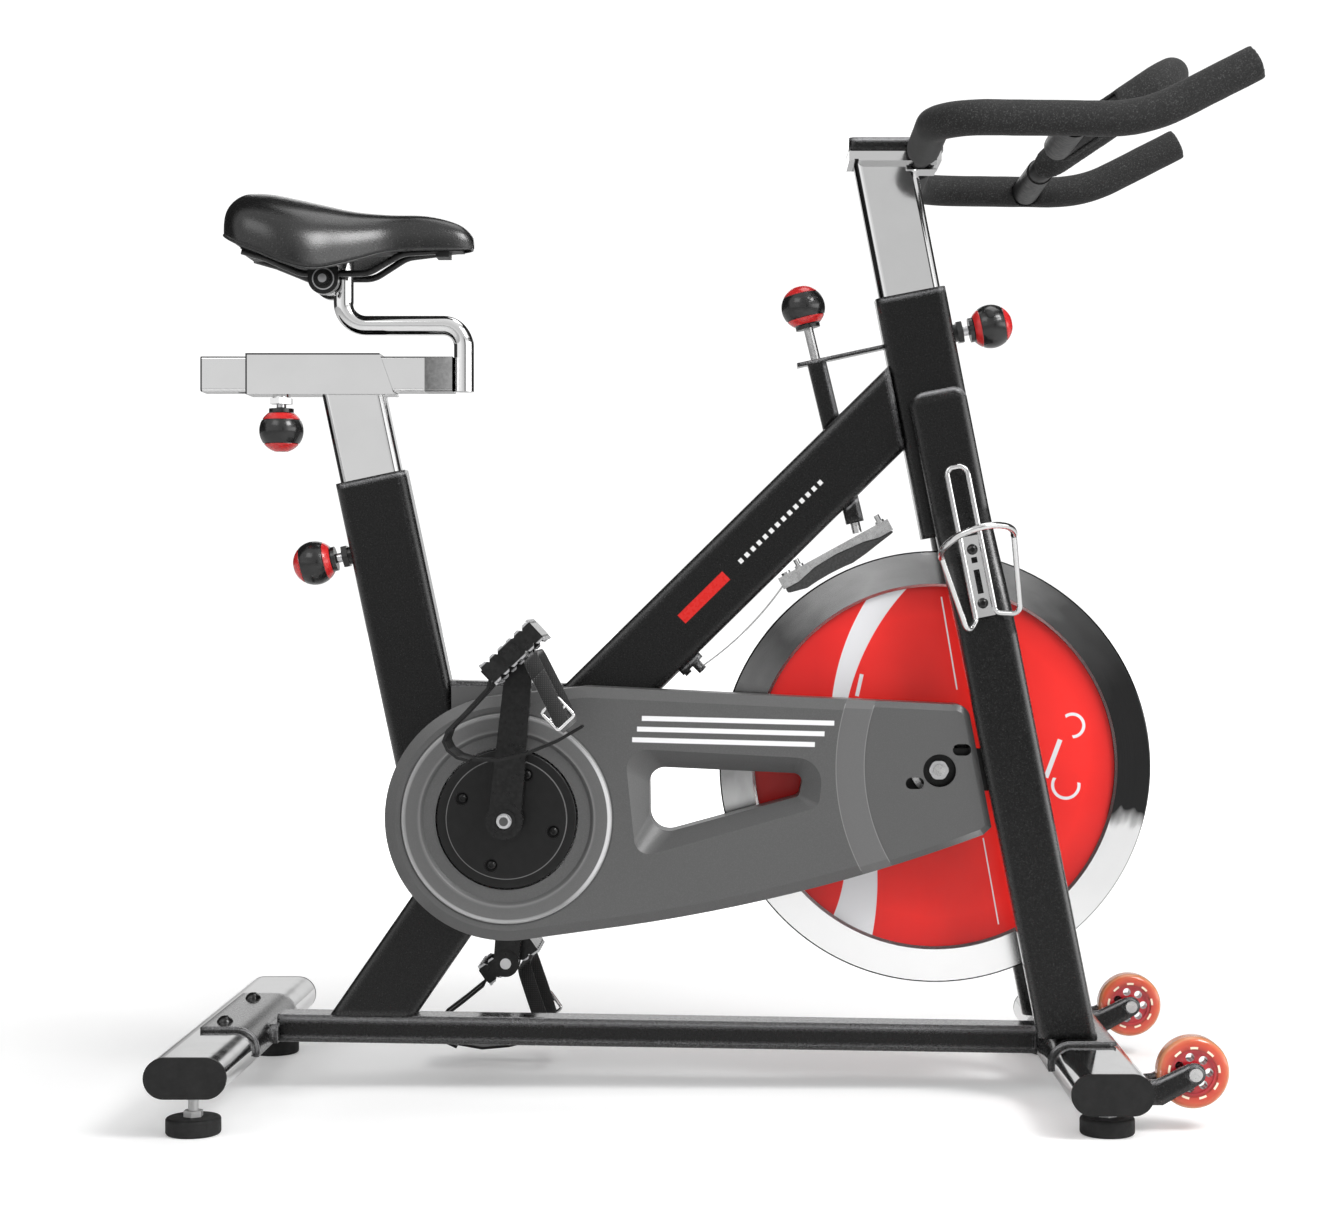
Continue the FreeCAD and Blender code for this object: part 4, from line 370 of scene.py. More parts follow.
    def stripe(self, x, z, start, end, width):
        """Straight mark from start to end."""
        run = Vector(end) - Vector(start)
        across = Vector((-run.y, run.x))
        shift = across.normalized() * width / 2
        low = Vector(start) - shift
        high = Vector(start) + shift
        return self.all_of(self.ahead_of(x, z, start, run), self.ahead_of(x, z, end, -run),
                           self.ahead_of(x, z, low, across), self.ahead_of(x, z, high, -across))


# ------------------------------------------------------------------ materials

def frame_paint(name="frame_paint"):
    """Gloss black powder coat with fine silver sparkle and painted highlight lines inside its
    upper and front edges.
    """
    g = Graph(name, Specular_IOR_Level=0.22, Coat_Roughness=0.10)
    soft = g.rounded(10 * MM)
    g.shine_at_edges(0.08, 1.0, soft)
    grain = g.noise(900, 3.0, 0.7)
    g.set("Base Color", g.ramp(grain, (0.38, 0.002), (0.58, 0.006), (0.72, 0.055)))
    # painted highlight: light grey lines inside rounded upper and front edges
    line = g.painted_edge_highlight(soft)
    g.paint_over(line, (0.40, 0.40, 0.41))
    g.set("Roughness", g.spread(g.noise(260), 0.22, 0.34))
    g.bump(grain, 0.06 * MM, 0.4, soft)
    g.set("Coat Normal", g.bumped(grain, 0.02 * MM, 0.3, soft))
    return g


def marked_frame_paint():
    """The same paint with a plain red block and a dashed white line along the main tube."""
    g = frame_paint("main_tube_paint")
    along = Vector((math.sin(MAIN_TUBE_LEAN), math.cos(MAIN_TUBE_LEAN)))
    middle = Vector(MAIN_TUBE_MIDDLE) * MM

    x, z = g.plane()

    def band(start, end, width):
        return g.stripe(x, z, middle + along * start * MM, middle + along * end * MM, width * MM)

    near = g.near_side(MAIN_TUBE_FACE_Y)
    block = band(-150, -84, 12)
    line = band(-66, 61, 5)
    pitch = 9 * MM
    run = g.math("ADD", g.math("MULTIPLY", x, along.x), g.math("MULTIPLY", z, along.y))
    dash = g.math("SINE", g.math("MULTIPLY", run, 2 * math.pi / pitch))
    dashes = g.all_of(line, g.range(dash, -0.15, 0.05))
    g.paint_over(g.all_of(block, near), BLOCK_RED)
    g.paint_over(g.all_of(dashes, near), PRINT_WHITE)
    return g


def chrome(name="chrome", roughness=0.06, light=0.80):
    """Polished chrome with faint smears."""
    g = Graph(name, metallic=1.0)
    smear = g.noise(14, 4.0, 0.55)
    g.set("Base Color", g.ramp(smear, (0.30, light - 0.05), (0.70, light)))
    g.set("Roughness", g.spread(g.noise(60, 3.0), roughness, roughness + 0.05))
    g.bump(g.noise(22, 1.0), 0.06 * MM, 0.2)
    return g


def paint_dark_edge_reflections(g, x, z, rear, top):
    """Painted dark reflections: thin lines where a square tube turns away at its rear end and
    along its top.
    """
    inner, outer = 1.3 * MM, 1.9 * MM
    end = g.all_of(g.range(x, rear + inner, rear + outer, 1.0, 0.0),
                   g.range(x, rear - outer, rear - inner))
    ridge = g.all_of(g.range(z, top - outer, top - inner), g.ahead_of(x, z, (rear, top), (1, 0)))
    # paints the dark reflection lines over the chrome
    g.paint_over(g.any_of(end, ridge), PAINTED_DARK_REFLECTION)


def post_chrome(node, joint, tube_top, top_part):
    """Chrome of an oval post, with a painted dark reflection along its rear edge where it mirrors
    the tubes behind.
    """
    g = chrome("chrome_" + node)
    x, z = g.plane()
    along = side_view(JOINTS[joint]["axis"]).normalized()
    rear = Vector(tube_top) * MM - Vector((along.y, -along.x)) * POST_EDGE
    reach = 400 * MM
    # painted dark reflection: a stripe along the rear edge, below the post's top part
    shade = g.stripe(x, z, rear - along * reach, rear + along * reach, 4.2 * MM)
    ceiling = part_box(node)[1].z - top_part
    below = g.range(z, ceiling - 0.5 * MM, ceiling, 1.0, 0.0)
    g.paint_over(g.all_of(shade, below), PAINTED_DARK_REFLECTION)
    return g


def seat_post_chrome():
    """Seat post and the square sleeve across its top, with painted dark reflection lines at the
    sleeve's rear end and along its top.
    """
    g = post_chrome("seat_post", "seat_height", SEAT_TUBE_TOP, SLEEVE_SIDE)
    x, z = g.plane()
    paint_dark_edge_reflections(g, x, z, SLEEVE_REAR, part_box("seat_post")[1].z)
    return g


def slide_chrome():
    """Chrome of the seat slide with painted dark reflection lines at its rear end and top, and a
    painted reflection on its front end that runs from dark to lighter.
    """
    g = chrome("slide_chrome")
    x, z = g.plane()
    low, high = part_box("seat_slide")
    paint_dark_edge_reflections(g, x, z, low.x, high.z)
    # painted reflection over the front 29 mm: darker at its start and lighter towards the front
    # end
    start = high.x - 29 * MM
    front_end = g.range(x, start - 0.5 * MM, start + 0.5 * MM)
    fade = g.range(x, start, high.x, 0.20, 0.42)
    painted_reflection = g.ramp(g.math("ADD", fade, g.spread(g.noise(300, 3.0), -0.05, 0.05)),
                  (0.0, 0.02), (1.0, 0.95))
    g.paint_over(front_end, painted_reflection)
    return g


def steel():
    """Bare bright steel, finely brushed."""
    g = Graph("bright_steel", metallic=1.0)
    g.set("Base Color", g.ramp(g.noise(70, 3.0), (0.30, 0.46), (0.72, 0.62)))
    g.set("Roughness", g.spread(g.noise(240), 0.20, 0.36))
    g.bump(g.noise(700), 0.03 * MM, 0.5)
    return g


def black_steel(name="black_steel"):
    """Blackened steel of rails, cranks and bars."""
    g = Graph(name, Specular_IOR_Level=0.25, Coat_Roughness=0.12)
    g.shine_at_edges(0.10, 0.9)
    g.set("Base Color", g.ramp(g.noise(240, 3.0), (0.35, 0.004), (0.70, 0.012)))
    g.set("Roughness", g.spread(g.noise(120), 0.26, 0.38))
    g.bump(g.noise(700), 0.04 * MM, 0.4)
    return g


def pedal_metal(hand, sign, angle):
    """Black pedal cage with worn bright tooth tips."""
    g = black_steel("pedal_metal_" + hand)
    f = PedalFrame(hand, sign, angle)
    lift = g.math("ABSOLUTE", g.math("SUBTRACT", g.dot(g.coord(), f.v), f.origin.dot(f.v)))
    g.make_bare(g.range(lift, TOOTH_TIP, TOOTH_TIP + 0.8 * MM), (0.60, 0.60, 0.61))
    return g


def rail_metal():
    """Black rails and clamp cheeks; the clamp's bolt and its washer edge are bright."""
    g = black_steel("rail_metal")
    x, z = g.plane()
    bolt = g.inside_circle(x, z, SADDLE_CLAMP, 4.5 * MM)
    washer = g.ring(x, z, SADDLE_CLAMP, 11 * MM, 1.2 * MM)
    g.make_bare(g.any_of(bolt, washer), (0.50, 0.50, 0.51))
    return g


def fastener_metal():
    """Black bolts and collars; the axle nuts and the bottle cage bolts are bright, with painted
    shade in the middle of the axle's end.
    """
    g = black_steel("fastener_metal")
    x, z = g.plane()
    cage_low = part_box("bottle_cage")[0]
    cage_foot = Vector((centre_of("bottle_cage").x, cage_low.z))
    nuts = g.inside_circle(x, z, WHEEL, 10 * MM)
    cage = g.all_of(g.inside_circle(x, z, cage_foot, 140 * MM), g.near_side(CAGE_BOLTS_Y))
    g.make_bare(g.any_of(nuts, cage), BARE_METAL)
    # painted shade in the middle of the axle's end
    g.paint_over(g.inside_circle(x, z, WHEEL, 4.8 * MM), PAINTED_RECESS_SHADE)
    return g


def crank_metal():
    """Black boss rings with a bright bolt in the middle and bright pedal axles."""
    g = black_steel("crank_axle_metal")
    x, z = g.plane()
    bolt = g.inside_circle(x, z, CRANK, 7.8 * MM)
    pedal_axles = g.outside_circle(x, z, CRANK, 20 * MM)
    g.make_bare(g.any_of(bolt, pedal_axles), (0.62, 0.62, 0.63))
    g.paint_over(g.inside_circle(x, z, CRANK, 4.6 * MM), (0.12, 0.12, 0.12))
    return g


def moulded(name, dark, light, roughness, grain=800.0, depth=0.06):
    """Moulded plastic or rubber with a fine grain; depth in mm."""
    g = Graph(name, Specular_IOR_Level=0.32)
    g.set("Base Color", g.ramp(g.noise(90, 4.0, 0.6), (0.30, dark), (0.72, light)))
    g.set("Roughness", g.spread(g.noise(grain * 0.3), roughness - 0.05, roughness + 0.08))
    g.bump(g.cells(grain), depth * MM, 0.6)
    return g


def cover_plastic():
    """Black cover disc with a painted highlight: a thin lighter ring at its step."""
    g = moulded("cover_plastic", 0.003, 0.006, 0.34, 1000.0, 0.03)
    g.set("Specular IOR Level", 0.30)
    x, z = g.plane()
    # painted highlight on the step's edge
    g.paint_over(g.ring(x, z, CRANK, COVER_STEP_R, 1.0 * MM), (0.16, 0.16, 0.16))
    return g


def foot_rubber():
    """Rubber pad under a zinc-plated stem and nut."""
    g = moulded("foot_rubber", 0.006, 0.015, 0.62, 500.0, 0.12)
    height = g.plane()[1]
    g.make_bare(g.range(height, FOOT_STEM_Z, FOOT_STEM_Z + 0.2 * MM), (0.58, 0.58, 0.58))
    return g


# three points on each arc of the guard's moulded band, then its printed bars as
# height, start and end; all mm in the side view
GUARD_ARCS = [((146, 430), (130, 338), (156, 240)), ((177, 430), (159, 343), (191, 240))]
GUARD_STRIPES = [(397.5, -70, 128), (386.5, -75, 118), (375.5, -80, 108)]
STRIPE_DROP = 5
STRIPE_WIDTH = 5.0 * MM


def circle_through(a, b, c):
    """Centre and radius of the circle through three points of the side view, given in mm."""
    d = 2 * (a[0] * (b[1] - c[1]) + b[0] * (c[1] - a[1]) + c[0] * (a[1] - b[1]))
    sq = [p[0] ** 2 + p[1] ** 2 for p in (a, b, c)]
    x = (sq[0] * (b[1] - c[1]) + sq[1] * (c[1] - a[1]) + sq[2] * (a[1] - b[1])) / d
    z = (sq[0] * (c[0] - b[0]) + sq[1] * (a[0] - c[0]) + sq[2] * (b[0] - a[0])) / d
    return Vector((x, z)) * MM, math.hypot(a[0] - x, a[1] - z) * MM


def guard_plastic():
    """Satin grey guard: painted highlights and shade on its mouldings and three plain white
    stripes.
    """
    g = Graph("guard_plastic", Specular_IOR_Level=0.6)
    x, z = g.plane()
    near = g.near_side(GUARD_EDGE_Y)
    face = g.near_side(GUARD_FACE_Y)

    # painted highlights and shade in rings round the crank's housing, by distance from the crank
    from_crank = g.math("DIVIDE", g.reach(x, z, CRANK), 200 * MM)
    g.set("Base Color", g.ramp(
        from_crank, (0.440, 0.072), (0.450, 0.17), (0.462, 0.092), (0.520, 0.100), (0.532, 0.28),
        (0.539, 0.62), (0.543, 0.22), (0.546, 0.025), (0.552, 0.074)))

    arcs = [circle_through(*arc) for arc in GUARD_ARCS]
    insides = [g.inside_circle(x, z, centre, radius) for centre, radius in arcs]
    edges = [g.ring(x, z, centre, radius, 0.9 * MM) for centre, radius in arcs]
    # painted highlight: a lighter band between the moulded arcs, and light lines along them on the
    # near face
    band = g.math("SUBTRACT", *insides, clamp=True)
    g.paint_over(g.math("MULTIPLY", band, 0.30), (0.20, 0.20, 0.20))
    g.paint_over(g.all_of(g.any_of(*edges), near), (0.22, 0.22, 0.22))

    fleck = g.noise(1100, 3.0, 0.7)
    g.paint_over(g.range(fleck, 0.45, 0.75, 0.0, 0.30), (0.17, 0.17, 0.17))
    # painted highlight: a bright arc on the raised ring round the crank, brightest ahead of it
    sector = g.ramp(g.around(x, z, CRANK), (0.00, 0.10), (0.22, 0.25), (0.34, 0.05),
                    (0.42, 0.70), (0.56, 0.80), (0.64, 0.15), (0.78, 0.05), (1.00, 0.10))
    g.paint_over(g.all_of(g.ring(x, z, CRANK, GUARD_RING_R, 3.4 * MM), sector),
                 (0.78, 0.78, 0.79))

    bars = [g.stripe(x, z, (start * MM, height * MM), (end * MM, (height - STRIPE_DROP) * MM),
                     STRIPE_WIDTH) for height, start, end in GUARD_STRIPES]
    g.paint_over(g.all_of(g.any_of(*bars), face), GUARD_WHITE)
    g.set("Roughness", g.spread(g.noise(300), 0.30, 0.40))
    g.bump(fleck, 0.05 * MM, 0.4)
    return g


def turned_rim():
    """Turned steel with fine grooves round the face, and painted light and dark fans of reflection
    round the axle.
    """
    g = Graph("turned_rim", metallic=1.0, Anisotropic=0.4)
    x, z = g.plane()
    reach = g.reach(x, z, WHEEL)
    angle = g.around(x, z, WHEEL)
    polar = g.add("CombineXYZ", g.math("MULTIPLY", reach, 2.0), angle, 0.0).outputs[0]
    grooves = g.noise(1400, 2.0, 0.6, vector=g.add("CombineXYZ", reach, 0.0, 0.0).outputs[0])
    streaks = g.noise(24, vector=polar)
    reflection_fan = g.math("ADD", angle, g.spread(streaks, -0.008, 0.008))
    # painted reflection: light and dark fans by angle round the axle
    g.set("Base Color", g.ramp(
        reflection_fan, (0.00, 0.30), (0.06, 0.90), (0.25, 0.96), (0.40, 0.85), (0.452, 0.95), (0.464, 0.02),
        (0.560, 0.03), (0.640, 0.12), (0.690, 0.38), (0.760, 0.38), (0.810, 0.55), (0.850, 0.36),
        (0.890, 0.10), (0.930, 0.22), (0.970, 0.04), (1.00, 0.30)))
    g.paint_over(g.range(grooves, 0.35, 0.65, 0.0, 0.05), BARE_METAL)

    # painted highlight on the lip against the wheel's face and a painted dark reflection on the
    # outer edge
    lip = g.ramp(g.range(reach, RIM_INNER_R, RIM_OUTER_R), (0.0, 0.0), (0.01, 1.0), (0.065, 1.0),
                 (0.08, 0.0))
    g.paint_over(lip, (0.95, 0.95, 0.95))
    g.paint_over(g.range(reach, RIM_OUTER_R - 1.4 * MM, RIM_OUTER_R - 0.9 * MM, 0.0, 0.8),
                 (0.05, 0.05, 0.05))
    g.set("Roughness", g.spread(grooves, 0.14, 0.22))
    g.set("Tangent", g.add("Tangent", direction_type="RADIAL", axis="Y").outputs[0])
    g.bump(grooves, 0.015 * MM, 0.3)
    return g


def disc_paint():
    """Gloss red wheel face with plain white bands, thin lines and two open rings, and painted
    shade towards the rim and behind the guard.
    """
    g = Graph("wheel_red", roughness=0.30, Specular_IOR_Level=0.25, Coat_Weight=0.12,
              Coat_Roughness=0.08)
    x, z = g.plane()

    def at(dx, dz):
        return WHEEL + Vector((dx, dz)) * MM

    def line(start, end, width):
        return g.stripe(x, z, at(*start), at(*end), width * MM)

    def open_ring(centre, radius, opening, direction):
        return g.all_of(g.ring(x, z, at(*centre), radius * MM, 3.2 * MM),
                        g.ahead_of(x, z, at(*opening), direction))

    upper = g.all_of(g.ahead_of(x, z, at(0, -60), (0, 1)),
                     g.inside_circle(x, z, at(142.5, 42.7), 252.5 * MM),
                     g.outside_circle(x, z, at(161.9, 11.1), 260.5 * MM))
    lower = g.all_of(g.ahead_of(x, z, at(0, -55), (0, -1)),
                     g.outside_circle(x, z, at(-259.8, -93.9), 165.8 * MM),
                     g.inside_circle(x, z, at(-379.4, -120.1), 319 * MM))
    white = g.any_of(upper, lower,
                     line((7.3, 179.1), (23.9, 81.0), 1.5),
                     line((51.5, -76.1), (67.8, -167.4), 1.3),
                     line((-76.9, 97.3), (-82.1, 74.1), 4.0),
                     open_ring((146, 43), 12, (142, 43), (1, 0.35)),
                     open_ring((139, -20), 14, (140, -15), (-0.2, -1)),
                     line((118, -12), (133, 28), 5))

    # painted shade: deeper red towards the rim, under the rim's lip, and behind the guard
    edge = g.range(g.reach(x, z, WHEEL), 160 * MM, RIM_INNER_R, 0.0, 0.5)
    rear = g.range(x, WHEEL.x - 125 * MM, WHEEL.x - 70 * MM, 0.45, 0.0)
    g.set("Base Color", g.ramp(g.noise(7, 3.0), (0.30, (0.86, 0.022, 0.018)),
                               (0.72, (0.95, 0.032, 0.026))))
    g.paint_over(g.any_of(edge, rear), (0.42, 0.008, 0.010))
    g.paint_over(white, (0.80, 0.80, 0.82))
    g.bump(g.noise(380), 0.03 * MM, 0.3)
    return g


def knob_plastic(node, toward):
    """Gloss black ball with a red band by its stem and a red cap; its pin is bare metal."""
    g = Graph("knob_" + node, roughness=0.26, Specular_IOR_Level=0.45, Coat_Weight=0.3,
              Coat_Roughness=0.10)
    toward = Vector(toward).normalized()
    tip = max(v.co.dot(toward) for v in NODES[node].data.vertices)
    below_tip = g.math("SUBTRACT", tip, g.dot(g.coord(), toward))

    def deeper_than(depth):
        """1 further than depth, in mm, from the ball's tip."""
        return g.range(below_tip, depth * MM, (depth + 0.4) * MM)

    cap = g.math("SUBTRACT", 1.0, deeper_than(8.0))
    band = g.math("SUBTRACT", deeper_than(33.5), deeper_than(40.2))
    g.set("Base Color", g.ramp(g.noise(150), (0.3, 0.006), (0.7, 0.013)))
    g.paint_over(g.any_of(cap, band),
                 g.ramp(g.noise(120), (0.3, (0.55, 0.018, 0.020)), (0.7, (0.66, 0.030, 0.030))))
    g.make_bare(deeper_than(46.5), BARE_METAL)
    g.bump(g.noise(300), 0.02 * MM, 0.4)
    return g


def foam():
    """Matt black foam with open pores and pale specks."""
    g = Graph("foam", Specular_IOR_Level=0.32, Sheen_Weight=0.06, Sheen_Roughness=0.6)
    grain = g.noise(620, 4.0, 0.75)
    g.set("Base Color", g.ramp(grain, (0.32, 0.003), (0.54, 0.013), (0.70, 0.080)))
    g.set("Roughness", g.spread(grain, 0.72, 0.88))
    g.bump(g.math("ADD", g.cells(520), grain), 0.25 * MM, 0.55)
    return g


def vinyl():
    """Soft black vinyl with a fine leather grain and a glittering sheen."""
    g = Graph("saddle_vinyl", Specular_IOR_Level=0.10, Coat_Weight=1.0, Coat_Roughness=0.24)
    g.set("Base Color", g.ramp(g.noise(520, 3.0, 0.75), (0.34, 0.002), (0.58, 0.005),
                               (0.74, 0.045)))
    g.set("Roughness", g.spread(g.noise(160, 3.0), 0.40, 0.50))
    g.set("Coat Normal", g.bumped(g.noise(620, 2.0, 0.6), 0.25 * MM, 0.5))
    g.bump(g.cells(560), 0.32 * MM, 0.7)
    return g


def webbing():
    """Woven black nylon."""
    g = Graph("strap_webbing", Sheen_Weight=0.4, Sheen_Roughness=0.4, roughness=0.75)
    cross = g.math("MULTIPLY", g.wave(150, "X"), g.wave(150, "Z"))
    g.set("Base Color", g.ramp(cross, (0.0, 0.004), (0.6, 0.014), (1.0, 0.050)))
    g.bump(cross, 0.35 * MM, 0.8)
    return g


def felt():
    """Dark pressed wool."""
    g = Graph("brake_felt", roughness=0.95, Sheen_Weight=0.5)
    fibre = g.noise(420, 5.0, 0.8)
    g.set("Base Color", g.ramp(fibre, (0.30, 0.010), (0.70, 0.055)))
    g.bump(fibre, 0.5 * MM, 0.8)
    return g


def roller_resin(node):
    """Clear orange-red tyre with pale dashes round a crimson spoked hub."""
    g = Graph("resin_" + node, roughness=0.18, Coat_Weight=0.4, Coat_Roughness=0.06)
    hub_r, tyre_r, dashes_round = 22.0 * MM, 35.3 * MM, 9.0
    centre = side_view(centre_of(node))
    x, z = g.plane()
    reach = g.reach(x, z, centre)
    hub = g.range(reach, hub_r - 0.1 * MM, hub_r + 0.1 * MM, 1.0, 0.0)
    dash_wave = g.math("SINE", g.math("MULTIPLY", g.angle(x, z, centre), dashes_round))
    dash = g.all_of(g.range(dash_wave, 0.15, 0.25), g.range(reach, 23.6 * MM, 23.8 * MM),
                    g.range(reach, 25.8 * MM, 26.0 * MM, 1.0, 0.0))
    across_tyre = g.math("ADD", g.range(reach, hub_r, tyre_r), g.spread(g.noise(60), -0.03, 0.03))
    g.set("Base Color", g.ramp(
        across_tyre, (0.0, (0.62, 0.040, 0.030)), (0.45, (0.80, 0.095, 0.045)),
        (0.78, (0.88, 0.190, 0.085)), (0.88, (0.95, 0.420, 0.210))))
    g.paint_over(hub, g.ramp(g.noise(90), (0.3, (0.42, 0.012, 0.022)),
                             (0.7, (0.56, 0.028, 0.034))))
    g.paint_over(dash, (0.90, 0.80, 0.62))
    g.set("Transmission Weight", g.range(g.any_of(hub, dash), 0.0, 1.0, 0.42, 0.0))
    g.bump(g.noise(200), 0.04 * MM, 0.4)
    return g


def floor_paper():
    """Plain pale paper that glows, more away from the bike, and fades into the white behind it;
    the glow is full to the camera and faint to other rays.
    """
    g = Graph("studio_floor", roughness=0.9, Specular_IOR_Level=0.2)
    g.set("Base Color", g.ramp(g.noise(3.0, 3.0), (0.3, 0.86), (0.7, 0.88)))
    place = g.add("SeparateXYZ", g.coord())
    reach = g.math("SQRT", g.math("ADD", g.math("POWER", place.outputs["X"], 2.0),
                                  g.math("POWER", place.outputs["Y"], 2.0)))
    # painted light: the floor glows, weakly near the bike and fully far from it, and mostly for
    # camera rays
    g.set("Emission Color", (1.0, 1.0, 1.0))
    seen = g.range(g.add("LightPath").outputs["Is Camera Ray"], 0.0, 1.0, 0.10, 1.0)
    g.set("Emission Strength", g.math("MULTIPLY", g.range(reach, 0.7, 2.6, 0.22, 1.05), seen))
    g.bump(g.noise(120), 0.05 * MM, 0.2)
    return g


# ------------------------------------------------------------------ finishes on CAD nodes

def paint(material, *nodes):
    """Gives CAD nodes a material in all their slots."""
    for name in nodes:
        data = NODES[name].data
        if not data.materials:
            data.materials.append(material)
        for i in range(len(data.materials)):
            data.materials[i] = material


def finish_cad():
    paint(frame_paint().material, "base_beam", "rear_bracket", "front_bracket", "rear_stay",
          "seat_tube", "cross_tube", "bottom_bracket", "head_tube", "fork_leg_right",
          "fork_leg_left", "brake_mounts", "bar_clamp", "roller_forks")
    paint(marked_frame_paint().material, "main_tube")
    paint(chrome().material, "stabiliser_tubes", "saddle_stem")
    paint(seat_post_chrome().material, "seat_post")
    paint(post_chrome("head_post", "bar_height", HEAD_TUBE_TOP, CLAMP_PLATE_T).material,
          "head_post")
    paint(slide_chrome().material, "seat_slide")
    paint(steel().material, "flywheel_hub", "flywheel_axle", "brake_rod", "roller_axles",
          "brake_carrier", "drive_pulley")
    paint(chrome("cage_chrome", 0.10, 0.74).material, "bottle_cage")
    paint(black_steel().material, "crank_arms", "axle_plates")
    paint(rail_metal().material, "saddle_rails")
    paint(fastener_metal().material, "frame_fasteners")
    paint(crank_metal().material, "crank_axles")
    paint(moulded("bar_coat", 0.005, 0.012, 0.45, 600.0, 0.08).material, "handlebar_tube")
    paint(moulded("cap_plastic", 0.005, 0.012, 0.46).material, "stabiliser_caps", "tube_liners",
          "saddle_shell", "toe_clip_right", "toe_clip_left")
    paint(cover_plastic().material, "pulley_cover")
    paint(foot_rubber().material, "foot_rear_right", "foot_rear_left", "foot_front_right",
          "foot_front_left")
    paint(moulded("belt_rubber", 0.006, 0.015, 0.66, 500.0, 0.12).material, "drive_belt")
    paint(guard_plastic().material, "guard_outer", "guard_inner")
    paint(turned_rim().material, "flywheel_rim")
    paint(disc_paint().material, "flywheel_disc")
    for hand, sign, angle in PEDALS:
        paint(pedal_metal(hand, sign, angle).material, "pedal_cage_" + hand)
    for node in ("roller_right", "roller_left"):
        paint(roller_resin(node).material, node)
    for node, joint, outward in KNOBS:
        out = Vector(JOINTS[joint]["axis"]) * outward
        paint(knob_plastic(node, out).material, node)


# ------------------------------------------------------------------ mesh helpers

def new_object(name, mesh, material, body):
    """A smooth piece that rides on a body."""
    piece = bpy.data.objects.new(name, mesh)
    bpy.context.collection.objects.link(piece)
    piece.data.materials.append(material)
    for polygon in piece.data.polygons:
        polygon.use_smooth = True
    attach(piece, body)
    return piece


def apply_modifiers(piece):
    """Bakes the modifiers into the mesh."""
    graph = bpy.context.evaluated_depsgraph_get()
    mesh = bpy.data.meshes.new_from_object(piece.evaluated_get(graph))
    piece.modifiers.clear()
    piece.data = mesh
    for polygon in mesh.polygons:
        polygon.use_smooth = True


def lofted(rings, closed_ends=True):
    """Mesh skin through rings of points that all have the same count."""
    mesh = bpy.data.meshes.new("loft")
    work = bmesh.new()
    rows = [[work.verts.new(p) for p in ring] for ring in rings]
    count = len(rings[0])
    for a, b in zip(rows, rows[1:]):
        for i in range(count):
            work.faces.new((a[i], a[(i + 1) % count], b[(i + 1) % count], b[i]))
    if closed_ends:
        work.faces.new(list(reversed(rows[0])))
        work.faces.new(rows[-1])
    bmesh.ops.recalc_face_normals(work, faces=work.faces)
    work.to_mesh(mesh)
    work.free()
    return mesh


def wire_curve(name, radius):
    curve = bpy.data.curves.new(name, "CURVE")
    curve.dimensions = "3D"
    curve.bevel_depth = radius
    curve.bevel_resolution = 3
    return curve


def add_spline(curve, kind, route, cyclic):
    spline = curve.splines.new(kind)
    spline.points.add(len(route) - 1)
    for point, place in zip(spline.points, route):
        point.co = (*place, 1.0)
    spline.use_cyclic_u = cyclic
    return spline


def wire_object(curve, material):
    wire = bpy.data.objects.new(curve.name, curve)
    bpy.context.collection.objects.link(wire)
    curve.materials.append(material)
    return wire


def smooth_curve(values, t):
    """Catmull-Rom value at t from 0 to 1 through evenly numbered values."""
    last = len(values) - 1
    place = min(max(t, 0.0), 1.0) * last
    i = min(int(place), last - 1)
    f = place - i
    a = values[max(i - 1, 0)]
    b = values[i]
    c = values[i + 1]
    d = values[min(i + 2, last)]
    return 0.5 * (2 * b + (c - a) * f + (2 * a - 5 * b + 4 * c - d) * f * f
                  + (3 * b - a - 3 * c + d) * f ** 3)


# ------------------------------------------------------------------ saddle

# stations from tail to nose: x, half width, skirt edge, underside, top, all mm
SADDLE = [(-509, 30, 905, 908, 920), (-503, 60, 898, 901, 935), (-488, 78, 889, 893, 946),
          (-464, 86, 879, 889, 947), (-436, 87, 867.5, 889, 942), (-408, 78, 862.5, 889, 936),
          (-376, 56, 872, 890, 929.5), (-340, 35, 885, 892, 926.5), (-306, 26, 889, 893, 926),
          (-284, 21, 890, 893.5, 922.5), (-266, 16, 891, 894, 916.5), (-256, 11, 892, 895, 909),
          (-251, 6, 893, 896, 902)]
SADDLE_ROWS = 56
SADDLE_HALF_POINTS = 15
SADDLE_CROWN = (0.92, 0.72)          # how square the crown is across and upward; 1 is an ellipse
SADDLE_NOSE_HALF = 3.0
WELT_STEPS = 46
WELT_RADIUS = 1.3 * MM


def saddle_station(t):
    """x, half width, skirt edge, underside and top at t from tail to nose."""
    return [smooth_curve(row, t) for row in zip(*SADDLE)]


